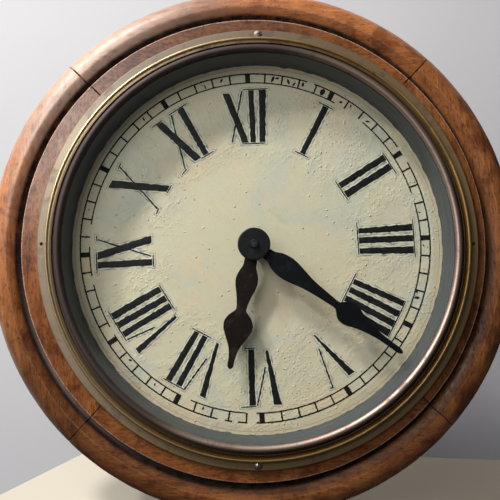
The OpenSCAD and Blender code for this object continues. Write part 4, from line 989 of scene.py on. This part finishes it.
class ClockBezel(bpy.types.Operator):
    """Turn the brass bezel, the copper-brown sight ring and the painted drum about the opening's axis"""

    bl_idname = "clock.bezel"
    bl_label = "Bezel and drum"

    def execute(self, context):
        colours = context.scene.clock_colours
        brass = old_brass_material("browned_brass", colours, colours.brass_old, 0.25, 0.38, 0.65)
        copper = old_brass_material("copper_brown_ring", colours, colours.copper, 0.12, 0.4)
        bezel = new_piece("turned_bezel", [turned_ring(bezel_outline(), BEZEL_SEAM)], brass, SHARP_BRASS)
        cutters = []
        for quarter, turn in enumerate(full_turn(4)):
            points = around_axis(np.array(DRILL) * MM, full_turn(28) + DRILL_SEAM, 0.0)
            points[..., 0] += OPENING_X + BEZEL_SCREW_AT * MM * math.sin(turn)
            points[..., 2] += BEZEL_SCREW_AT * MM * math.cos(turn)
            cutters.append(new_piece(f"drill_{quarter}", [skin(points, True)], brass))
        cut_holes(bezel, cutters)
        round_top = arc((BEAD_MID, GLASS_TOP), BEAD_RADIUS, 0, 180, 28)
        lip = [[BEAD_MID - BEAD_RADIUS, GLASS_TOP], [SEAT_RADIUS, GLASS_TOP]]
        seat = [[SEAT_RADIUS, SEAT_HEIGHT], [SEAT_RADIUS + 1, SEAT_HEIGHT]]
        bead = turned_ring(np.concatenate([round_top, eased(lip + seat, 0.1)]))
        ring = new_piece("sight_ring_bead", [bead], copper)
        low, high = DIAL_HEIGHT / MM, DIAL_HEIGHT / MM + DRUM_FOOT
        wall = [[229.0, low], [244.0, low], [244.0, high], [230.0, high], [230.0, DRUM_TOP], [229.0, DRUM_TOP]]
        drum = new_piece("painted_drum", [turned_ring(eased(wall, 0.15))], drum_material(colours), 35.0)
        for piece, node, finish in (
            (bezel, "bezel", "brass_bezel"), (ring, "sight_ring", "copper_ring"), (drum, "dial_drum", "grey_paint"),
        ):
            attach(piece, "case")
            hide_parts(node)
        return {"FINISHED"}


# Painted figures and minute track

# Bars of each figure, in millimetres on the dial before its turn: left and right edge at the outer end, its radius,
# then the same at the inner end. The figures' feet point to the centre.
BARS = {
    1: ((-5.2, 3.7, 195, -4, 3.5, 128),),
    2: ((-9, -0.5, 195, -9, -0.5, 128), (4, 13.5, 195, 4, 13.2, 128)),
    3: ((-16.7, -7.5, 195, -14, -7, 128), (-3, 5.7, 195, -3, 5.7, 128), (11, 21, 195, 10.7, 18, 128)),
    4: (
        (-22.7, -14.7, 195, -18.5, -11, 128), (-9, -0.3, 195, -7.7, 0.3, 128),
        (4.5, 13.5, 195, 4, 12, 128), (17, 26.5, 195, 15, 23, 128),
    ),
    5: ((-17.5, -8.5, 195.7, -1, 1.4, 132), (14.3, 15.8, 196.5, 3.3, 4.8, 149)),
    6: ((-22.8, -12.7, 195.5, -9.2, -5.4, 130), (6.2, 7.8, 195.7, -5.6, -4, 150), (8.6, 17, 195, 7.5, 15.5, 128)),
    7: (
        (-32, -23.5, 194, -16.4, -12.2, 128.5), (-5, -3.4, 195.7, -11.8, -10.2, 151), (0, 8, 195, -0.7, 6.7, 128),
        (13.5, 22.5, 195, 10.7, 18, 128),
    ),
    8: (
        (-36.3, -28, 191.5, -23.8, -20, 129.5), (-14.3, -12.7, 194.5, -19.8, -18.3, 158),
        (-10, -1.7, 195, -11, -3, 128), (2.7, 11.5, 195, -0.2, 8, 128), (15, 24.7, 195, 12.7, 21, 128),
    ),
    9: ((-21, -12.5, 195, -20.5, -11.5, 128), (-10.5, -0.5, 195, 7.5, 17.5, 128), (13.7, 15.3, 194, -9.3, -7.7, 129)),
    10: ((-21.5, -10, 195, 7, 16, 128), (7.2, 8.8, 194, -17.3, -15.7, 128)),
    11: ((-24.5, -15, 193, -7.5, 2.5, 128), (-2, -0.4, 194, -23.8, -22.2, 126), (8, 17.5, 195, 5, 13, 128)),
    12: (
        (-33, -23.5, 192, -11, -1.5, 128), (-8.8, -7.2, 194.5, -23.8, -22.2, 129), (-0.5, 7.2, 195, -0.5, 7.2, 128),
        (13, 22.5, 195, 11, 19, 128),
    ),
}
# Thin end strokes: left and right end, radius at the left and at the right
SERIFS = {
    1: ((-12, 9, 196.2, 196.2), (-10.5, 9, 126.6, 126.9)),
    2: ((-11.5, 21, 196.2, 196), (-13.5, 17, 126.6, 126.6)),
    3: ((-22.5, 26, 196, 196.2), (-22, 19.5, 126.6, 126.8)),
    4: ((-22.7, 26.5, 196, 196), (-26, 24, 126.4, 126.8)),
    5: ((14, 19, 197.5, 196),),
    6: ((8, 27, 196.2, 196.5), (6, 20, 126.6, 126.6)),
    7: ((-5, 25, 196.4, 196), (-5.5, 22, 126.6, 126.6)),
    8: ((-15, 29, 196, 196), (-15.5, 22.7, 126.6, 126.6)),
    9: ((-27.5, 0, 196, 196.4), (13, 20, 195, 195.6), (-22, -7, 126.6, 126.6)),
    10: ((5, 13, 195.2, 195.4), (-23, -15, 126.4, 127), (6, 18, 126.8, 126.6)),
    11: ((-30, -14, 193.4, 194.4), (-4, 24, 195.6, 196.2), (-30, -21, 122.5, 125.5), (1, 19, 126.6, 126.6)),
    12: ((-7, 25, 196.2, 196), (-11, 19, 126.6, 126.6)),
}
# Half widths of the track's ticks and five-minute bars, in millimetres, and where they stand, in minutes as painted
TICK_HALF, BAR_HALF = 1.05, 3.25
TRACK_BARS = (4.92, 10.06, 15.07, 20.08, 25.08, 30.1, 34.93, 39.76, 44.85, 49.87, 54.96, 60.0)
TICK_DRIFT = (0.0, -0.06, 0.04, 0.08, 0.09, 0.1, -0.02, -0.18, -0.24, -0.14, -0.12, -0.09)
# Places where the track's lines are worn away: first and last minute
OUTER_GAPS = ((3.4, 3.8), (9.7, 10.7), (30.4, 30.9), (31.4, 31.7), (32.1, 32.5))
INNER_GAPS = ((5.3, 7.3), (12.4, 13.0), (30.4, 31.0), (34.2, 34.8), (40.0, 40.5), (43.1, 43.6), (45.3, 46.6))
# Smudges of black paint in the track: minute, radius, length, width, lean in degrees
SMUDGES = (
    (1.45, 210.5, 9, 3.6, 70), (1.7, 212.2, 6, 2.4, 20), (2.35, 210.2, 7.5, 3.0, 120), (2.7, 208.6, 6, 2.2, 60),
    (3.2, 211, 6, 3.4, 95), (4.4, 210.4, 9.5, 6.4, 85), (5.6, 209.5, 5, 2.4, 40), (6.2, 211.5, 5, 2.0, 100),
    (7.5, 209.5, 6, 2.2, 30), (13.6, 207.5, 3.6, 1.6, 60), (15.5, 207.6, 3.4, 1.8, 40), (18.5, 208.8, 6.5, 3.4, 110),
    (18.2, 206.8, 3.4, 2.2, 20), (53.5, 210.5, 6, 2.2, 75), (57.5, 209, 6, 2.0, 100), (58.5, 211.5, 6, 2.6, 50),
    (33.4, 208.5, 4.5, 2.2, 70), (38.3, 207.5, 5, 2.4, 30), (36.4, 209.5, 3.5, 1.8, 120), (47.4, 210.5, 3.5, 1.4, 20),
)


# Least half width of a stroke of paint, how far its underside is sunk into the dial, and how far the rim's ragged
# paint reaches over the dial's visible edge
LEAST_HALF, SUNK, LAP_OVER = 0.15 * MM, 0.02 * MM, 0.5 * MM


def on_dial(across, radius, clock_angle):
    """World X and Z of a point given sideways and outwards at a clock angle of the painted figures."""
    turn = np.radians(clock_angle + PRINT_TURN)
    across, radius = np.asarray(across, float) * MM, np.asarray(radius, float) * MM
    return np.stack(
        [
            PRINT_CENTRE[0] + radius * np.sin(turn) + across * np.cos(turn),
            PRINT_CENTRE[1] + radius * np.cos(turn) - across * np.sin(turn),
        ],
        -1,
    )


def paint_stroke(left, right, height, seed, ragged, around=10):
    """Closed low ridge of paint between two edge lines (n, 2). Across the stroke the section is a flattened
    superellipse: half the width times cos^0.45, the paint's height times sin^0.6, and a thin sunk underside. Both
    edges wander by a seeded sum of sines of the length."""
    middle, half = (left + right) / 2, (right - left) / 2
    width = np.linalg.norm(half, axis=1, keepdims=True)
    side = half / np.maximum(width, 1e-9)
    run = np.concatenate([[0], np.cumsum(np.linalg.norm(np.diff(middle, axis=0), axis=1))])
    drift = [wander(run, seed + k, 6, 250, 2300)[:, None] * ragged for k in (0, 500)]
    left_half, right_half = (np.maximum(width + change, LEAST_HALF) for change in drift)
    angle = full_turn(around) + np.pi / around
    cosine, sine = np.cos(angle), np.sin(angle)
    offset = np.sign(cosine) * np.abs(cosine) ** 0.45
    rise = np.sign(sine) * np.abs(sine) ** 0.6
    reach = np.where(offset > 0, right_half, left_half) * offset
    flat = middle[:, None] + side[:, None] * reach[..., None]
    level = DIAL_HEIGHT + np.where(rise > 0, rise * height, rise * SUNK)
    level = np.broadcast_to(level, reach.shape)
    return skin(np.stack([flat[..., 0], -level, flat[..., 1]], -1), False)


def straight_edges(ends, clock_angle, grow, steps=22):
    """Edge lines of a bar or thin stroke, widened and lengthened by grow, in millimetres."""
    left0, right0, radius0, left1, right1, radius1 = ends
    share = np.linspace(0, 1, steps)
    radius = (radius0 + grow) + (radius1 - radius0 - 2 * grow) * share
    thin = 0.35 if right0 - left0 < 2 else 0.0
    left = left0 - grow - thin + (left1 - left0) * share
    right = right0 + grow + thin + (right1 - right0) * share
    return on_dial(left, radius, clock_angle), on_dial(right, radius, clock_angle)


def serif_edges(ends, clock_angle, grow, thick=1.8, steps=20):
    """Edge lines of a stroke that runs sideways."""
    first, last, radius_first, radius_last = ends
    share = np.linspace(0, 1, steps)
    across = first - grow + (last - first + 2 * grow) * share
    radius = radius_first + (radius_last - radius_first) * share
    taper = thick / 2 * (0.55 + 0.45 * np.sin(np.pi * share) ** 0.5) + grow
    return on_dial(across, radius + taper, clock_angle), on_dial(across, radius - taper, clock_angle)


def arc_edges(radius, first, last, width, steps):
    """Edge lines of a stroke along the track, between two minutes."""
    angle = np.linspace(first, last, steps) * 6
    return on_dial(0 * angle, radius + width / 2, angle), on_dial(0 * angle, radius - width / 2, angle)


def blob_edges(minute, radius, length, width, lean, steps=14):
    """Edge lines of a pointed smudge: its half width follows the sine of the length."""
    share = np.linspace(0.03, 0.97, steps)
    half = np.sin(np.pi * share) ** 0.6 * width / 2
    cosine, sine = math.cos(math.radians(lean)), math.sin(math.radians(lean))
    run = (share - 0.5) * length
    return [
        on_dial(run * cosine - side * sine, radius + run * sine + side * cosine, minute * 6) for side in (half, -half)
    ]


def figure_strokes(grow, height, ragged, seed):
    """All bars and end strokes of the twelve figures as paint ridges, grown by `grow` millimetres."""
    return [
        paint_stroke(*edges(ends, hour * 30, grow), height, seed + hour * 20 + number, ragged * share)
        for hour in BARS
        for strokes, edges, first, share in ((BARS, straight_edges, 0, 1.0), (SERIFS, serif_edges, 10, 0.5))
        for number, ends in enumerate(strokes[hour], first)
    ]


def kept_spans(first, last, gaps):
    """Spans of the track between worn gaps."""
    edges = [first, *[edge for gap in gaps for edge in gap], last]
    return zip(edges[::2], edges[1::2])


def track_strokes(sizes, ragged, seed):
    """The track's two lines, its ticks and five-minute bars."""
    outer, inner, height = sizes.track_outer / MM, sizes.track_inner / MM, sizes.ink_height
    parts = []
    for radius, gaps, width in ((outer, OUTER_GAPS, 1.8), (inner, INNER_GAPS, 1.6)):
        for number, (first, last) in enumerate(kept_spans(0.2, 60.2, gaps)):
            edges = arc_edges(radius, first, last, width, max(8, int((last - first) * 12)))
            parts.append(paint_stroke(*edges, height, seed + number, ragged * 0.5, 8))
    for minute in range(1, 61):
        group, rest = divmod(minute, 5)
        drift = TICK_DRIFT[group % 12] * (1 - rest / 5) + TICK_DRIFT[(group + 1) % 12] * rest / 5
        half, place = (TICK_HALF, minute + drift) if rest else (BAR_HALF, TRACK_BARS[group - 1])
        edges = straight_edges((-half, half, outer, -half, half, inner), place * 6, 0.0, 10)
        parts.append(paint_stroke(*edges, height, seed + 100 + minute, ragged * 0.6, 8))
    return parts


class ClockDial(bpy.types.Operator):
    """Paint the dial: cream ground, retouched margins, figures, minute track, smudges and the chipped rim"""

    bl_idname = "clock.dial"
    bl_label = "Dial"

    def execute(self, context):
        sizes, colours = context.scene.clock_sizes, context.scene.clock_colours
        dress(("dial_plate",), dial_material(colours))
        ink = flat_paint_material("figure_black", colours.ink, srgb(40, 38, 36), 0.55, gloss=0.15)
        margin = flat_paint_material("retouching_cream", colours.margin_paint, srgb(204, 198, 172), 0.6)
        outline = flat_paint_material("worn_outline", colours.outline_paint, srgb(178, 180, 164), 0.65)
        rim_paint = flat_paint_material("rim_overlap", colours.drum_paint, srgb(120, 122, 116), 0.6)
        grow = sizes.margin_width / MM
        smudges = [
            paint_stroke(*blob_edges(*smudge), sizes.ink_height, 900 + number, 0.25 * MM)
            for number, smudge in enumerate(SMUDGES)
        ]
        turns = full_turn(720)
        lap = np.clip(wander(turns, 77, 9, 8, 120) * 0.8, 0.0, 2.4) + 0.35
        edges = []
        for radius in (DIAL_RADIUS - lap * MM, DIAL_RADIUS + LAP_OVER):
            edge = np.stack([OPENING_X + radius * np.sin(turns), radius * np.cos(turns)], -1)
            edges.append(np.concatenate([edge, edge[:1]]))
        for name, parts, paint in (
            ("figure_outlines", figure_strokes(grow + 0.7, sizes.outline_height, 0.9 * MM, 300), outline),
            ("figure_margins", figure_strokes(grow, sizes.margin_height, 0.75 * MM, 200), margin),
            ("dial_figures", figure_strokes(0.0, sizes.ink_height, 0.36 * MM, 100), ink),
            ("minute_track", track_strokes(sizes, 0.34 * MM, 600), ink),
            ("track_smudges", smudges, ink),
            ("rim_overlap", [paint_stroke(*edges, 0.06 * MM, 5, 0.0)], rim_paint),
        ):
            piece = new_piece(name, parts, paint, 60.0)
            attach(piece, "case")
            "grey_paint" if name == "rim_overlap" else "cream_paint"
        return {"FINISHED"}


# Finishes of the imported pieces


def dress(names, material):
    """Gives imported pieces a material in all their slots."""
    for name in names:
        node = frame["nodes"][name]
        if not node.material_slots:
            node.data.materials.append(material)
        for slot in node.material_slots:
            slot.material = material


def dress_rest(finishes):
    """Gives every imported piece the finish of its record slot, except those dressed on their own."""
    for part in frame["record"]["subparts"]:
        if part["material_slot"] in finishes:
            dress((part["node"],), finishes[part["material_slot"]])


class ClockGlass(bpy.types.Operator):
    """Give the flat glass its clear finish"""

    bl_idname = "clock.glass"
    bl_label = "Glass"

    def execute(self, context):
        dress(("glass",), glass_material())
        return {"FINISHED"}


class ClockHands(bpy.types.Operator):
    """Enamel the hands, the boss and the nut"""

    bl_idname = "clock.hands"
    bl_label = "Hands"

    def execute(self, context):
        colours = context.scene.clock_colours
        dress(("hour_hand",), hand_material("hour_hand_enamel", colours.hour_enamel, srgb(58, 38, 30), 0.45))
        dress(("minute_hand",), hand_material("minute_hand_enamel", colours.minute_enamel, srgb(28, 31, 37), 0.35))
        dress(("hand_boss",), boss_material(colours))
        dress(("hand_nut",), metal_material("blued_nut", srgb(96, 96, 98), srgb(40, 40, 44), 0.3))
        return {"FINISHED"}


class ClockCase(bpy.types.Operator):
    """Finish the back box, the rails, the hanging ears and the small fittings"""

    bl_idname = "clock.case"
    bl_label = "Case"

    def execute(self, context):
        colours = context.scene.clock_colours
        oak = 0.5, srgb(150, 98, 60), srgb(118, 70, 42), srgb(72, 40, 26)
        pine = 0.25, srgb(192, 156, 112), srgb(168, 130, 88), srgb(126, 92, 60)
        for names, finish, grain_turn, look in (
            (("box_top", "box_bottom"), "box_oak_across", 0.0, oak),
            (("box_left", "box_right", "door"), "box_oak_upright", math.pi / 2, oak),
            (("cross_rails", "joint_tongues"), "bare_pine_across", 0.0, pine),
            (("side_rails", "back_board"), "bare_pine_upright", math.pi / 2, pine),
        ):
            dress(names, plain_wood_material(finish, grain_turn, *look))
        dress_rest(
            {
                "brass_fittings": metal_material("fitting_brass", colours.brass_clean, srgb(120, 90, 50), 0.28),
                "iron_black": iron_material("black_iron", srgb(34, 33, 33), srgb(104, 62, 40), 0.5),
                "steel_screws": metal_material("worn_screws", srgb(166, 156, 142), srgb(92, 82, 72), 0.42, 0.9, 0.7),
            }
        )
        return {"FINISHED"}


class ClockMovement(bpy.types.Operator):
    """Finish the movement: plates, wheels, arbors, magnet, winding, terminals and leads"""

    bl_idname = "clock.movement"
    bl_label = "Movement"

    def execute(self, context):
        colours = context.scene.clock_colours
        dress_rest(
            {
                "plate_brass": metal_material(
                    "plate_brass", colours.brass_clean, srgb(134, 104, 60), 0.24, math.pi / 2, 0.3
                ),
                "steel": metal_material("polished_steel", colours.steel, srgb(104, 106, 112), 0.2, 0.4, 0.25),
                "soft_iron": iron_material("soft_iron", srgb(84, 84, 86), srgb(112, 84, 64), 0.38),
                "coil_red": winding_material(),
                "black_ebonite": ebonite_material(),
                "lead_green": braid_material(),
            }
        )
        return {"FINISHED"}


# Stage

# Camera: azimuth and elevation from the dial's centre in degrees, distance in metres, and the point that it looks at
CAMERA_FROM, CAMERA_DISTANCE = (-0.711, -4.365), 0.618374
CAMERA_AIM = (-0.004552, -DIAL_HEIGHT, -0.005147)
# Lamps: place and size in metres, and the kind of light that each is left out of
LAMPS = {
    "near": ((-0.403, -0.842, 0.304), 0.83, "visible_glossy"),
    "sheen": ((-0.85, -1.45, 0.62), 0.45, "visible_diffuse"),
    "upper": ((-1.564, -1.418, 2.786), 0.58, None),
    "left": ((-2.059, -1.418, 1.938), 0.27, None),
    "back": ((0.9, 1.5, 0.9), 1.0, "visible_glossy"),
}
WARM = (1.0, 0.985, 0.95)
# Wall plane with its extent, the floor's distance under the clock and its outline (X, Y), in metres
WALL_Y, WALL_HALF, WALL_TOP, WALL_BELOW, FLOOR_GAP = 0.27, 3.0, 2.6, 1.2, 2.5 * MM
FLOOR = ((-1.6, -2.2), (1.6, -2.2), (1.6, -0.06), (-0.265, 0.15), (-0.336, -0.0527), (-0.6, -0.83), (-1.6, -2.0))


def point_at(item, place, target):
    """Puts a lamp or the camera at a place and turns it to a target."""
    item.location = place
    item.rotation_euler = (Vector(target) - Vector(place)).to_track_quat("-Z", "Y").to_euler()


def add_camera(scene, focal_length):
    azimuth, elevation = (math.radians(angle) for angle in CAMERA_FROM)
    towards = Vector(
        (math.sin(azimuth) * math.cos(elevation), -math.cos(azimuth) * math.cos(elevation), math.sin(elevation))
    )
    lens = bpy.data.cameras.new("camera")
    lens.lens, lens.sensor_width = focal_length, 36.0
    camera = bpy.data.objects.new("camera", lens)
    scene.collection.objects.link(camera)
    point_at(camera, Vector((0, -DIAL_HEIGHT, 0)) + towards * CAMERA_DISTANCE, CAMERA_AIM)
    scene.camera = camera


def add_lamps(scene, lights):
    for name, (place, size, left_out_of) in LAMPS.items():
        lamp = bpy.data.lights.new(name + "_lamp", "AREA")
        lamp.shape, lamp.size, lamp.energy, lamp.color = "DISK", size, getattr(lights, name + "_power"), WARM
        item = bpy.data.objects.new(name + "_lamp", lamp)
        scene.collection.objects.link(item)
        item.visible_camera = False
        if left_out_of:
            setattr(item, left_out_of, False)
        point_at(item, place, (0, -DIAL_HEIGHT, 0))


def add_room(scene, strength):
    """The room's light: even for diffuse light, dim with a bright upper left where it is mirrored, and pale where
    the camera sees it."""
    world = bpy.data.worlds.new("room")
    scene.world = world
    world.use_nodes = True
    tree = world.node_tree
    x, y, z = split(add(tree, "TexCoord", output="Generated"))
    lean = z * 0.8 + x * -0.6
    behind = step_up(y, -0.1, 0.4, 0.0, 0.87) * step_up(lean, -0.2, 0.3)
    glow = greatest(step_up(lean, 0.66, 0.9, 0.02, 0.9), behind)
    room = tree.nodes["Background"]
    fill(room, {"Color": srgb(224, 226, 232), "Strength": strength})
    sheen = add(tree, "Background", {"Color": tint(srgb(244, 244, 248), glow), "Strength": 1.0})
    pale = add(tree, "Background", {"Color": srgb(240, 240, 241), "Strength": 1.0})
    ray = add(tree, "LightPath").beside
    seen = greatest(ray("Is Camera Ray"), ray("Is Transmission Ray"))
    unseen = add(tree, "MixShader", {0: ray("Is Glossy Ray"), 1: Field(room.outputs[0]), 2: sheen})
    fill(tree.nodes["World Output"], {"Surface": add(tree, "MixShader", {0: seen, 1: unseen, 2: pale})})


def add_backdrop(name, outline, colour, painted_shade_right):
    mesh = bpy.data.meshes.new(name)
    mesh.from_pydata(outline, [], [list(range(len(outline)))])
    mesh.materials.append(backdrop_material(name + "_paint", colour, painted_shade_right))
    item = bpy.data.objects.new(name, mesh)
    bpy.context.scene.collection.objects.link(item)


class ClockStage(bpy.types.Operator):
    """Set up the camera, the lamps, the room's light, the wall and the floor"""

    bl_idname = "clock.stage"
    bl_label = "Stage"

    def execute(self, context):
        scene, colours = context.scene, context.scene.clock_colours
        add_camera(scene, scene.clock_lights.lens)
        add_lamps(scene, scene.clock_lights)
        add_room(scene, scene.clock_lights.room_strength)
        low = CAD_BOX[0][2] - FLOOR_GAP
        foot = low - WALL_BELOW
        ends = ((-WALL_HALF, foot), (WALL_HALF, foot), (WALL_HALF, WALL_TOP), (-WALL_HALF, WALL_TOP))
        add_backdrop("wall", [(x, WALL_Y, z) for x, z in ends], colours.wall_paint, colours.wall_paint)
        # The floor darkens towards the right: a painted shadow of the clock
        add_backdrop("floor", [(x, y, low) for x, y in FLOOR], colours.floor_paint, srgb(150, 141, 128))
        scene.view_settings.view_transform = "Standard"
        return {"FINISHED"}


class ClockPanel(bpy.types.Panel):
    """Lists the clock's settings and its building steps"""

    bl_idname = "VIEW3D_PT_clock"
    bl_label = "Station clock"
    bl_space_type = "VIEW_3D"
    bl_region_type = "UI"
    bl_category = "Clock"

    def draw(self, context):
        scene = context.scene
        for settings in (scene.clock_sizes, scene.clock_colours, scene.clock_lights):
            box = self.layout.box()
            for name in settings.bl_rna.properties.keys():
                if name not in {"rna_type", "name"}:
                    box.prop(settings, name)
        for operator in OPERATORS:
            self.layout.operator(operator.bl_idname)


OPERATORS = (ClockStage, ClockSurround, ClockBezel, ClockGlass, ClockDial, ClockHands, ClockCase, ClockMovement)
CLASSES = (ClockSizes, ClockColours, ClockLights, *OPERATORS, ClockPanel)


def register():
    for item in CLASSES:
        bpy.utils.register_class(item)
    bpy.types.Scene.clock_sizes = bpy.props.PointerProperty(type=ClockSizes)
    bpy.types.Scene.clock_colours = bpy.props.PointerProperty(type=ClockColours)
    bpy.types.Scene.clock_lights = bpy.props.PointerProperty(type=ClockLights)


def unregister():
    del bpy.types.Scene.clock_lights, bpy.types.Scene.clock_colours, bpy.types.Scene.clock_sizes
    for item in reversed(CLASSES):
        bpy.utils.unregister_class(item)


def main():
    register()
    for operator in OPERATORS:
        getattr(bpy.ops.clock, operator.bl_idname.split(".")[1])()


if __name__ == "__main__":
    main()
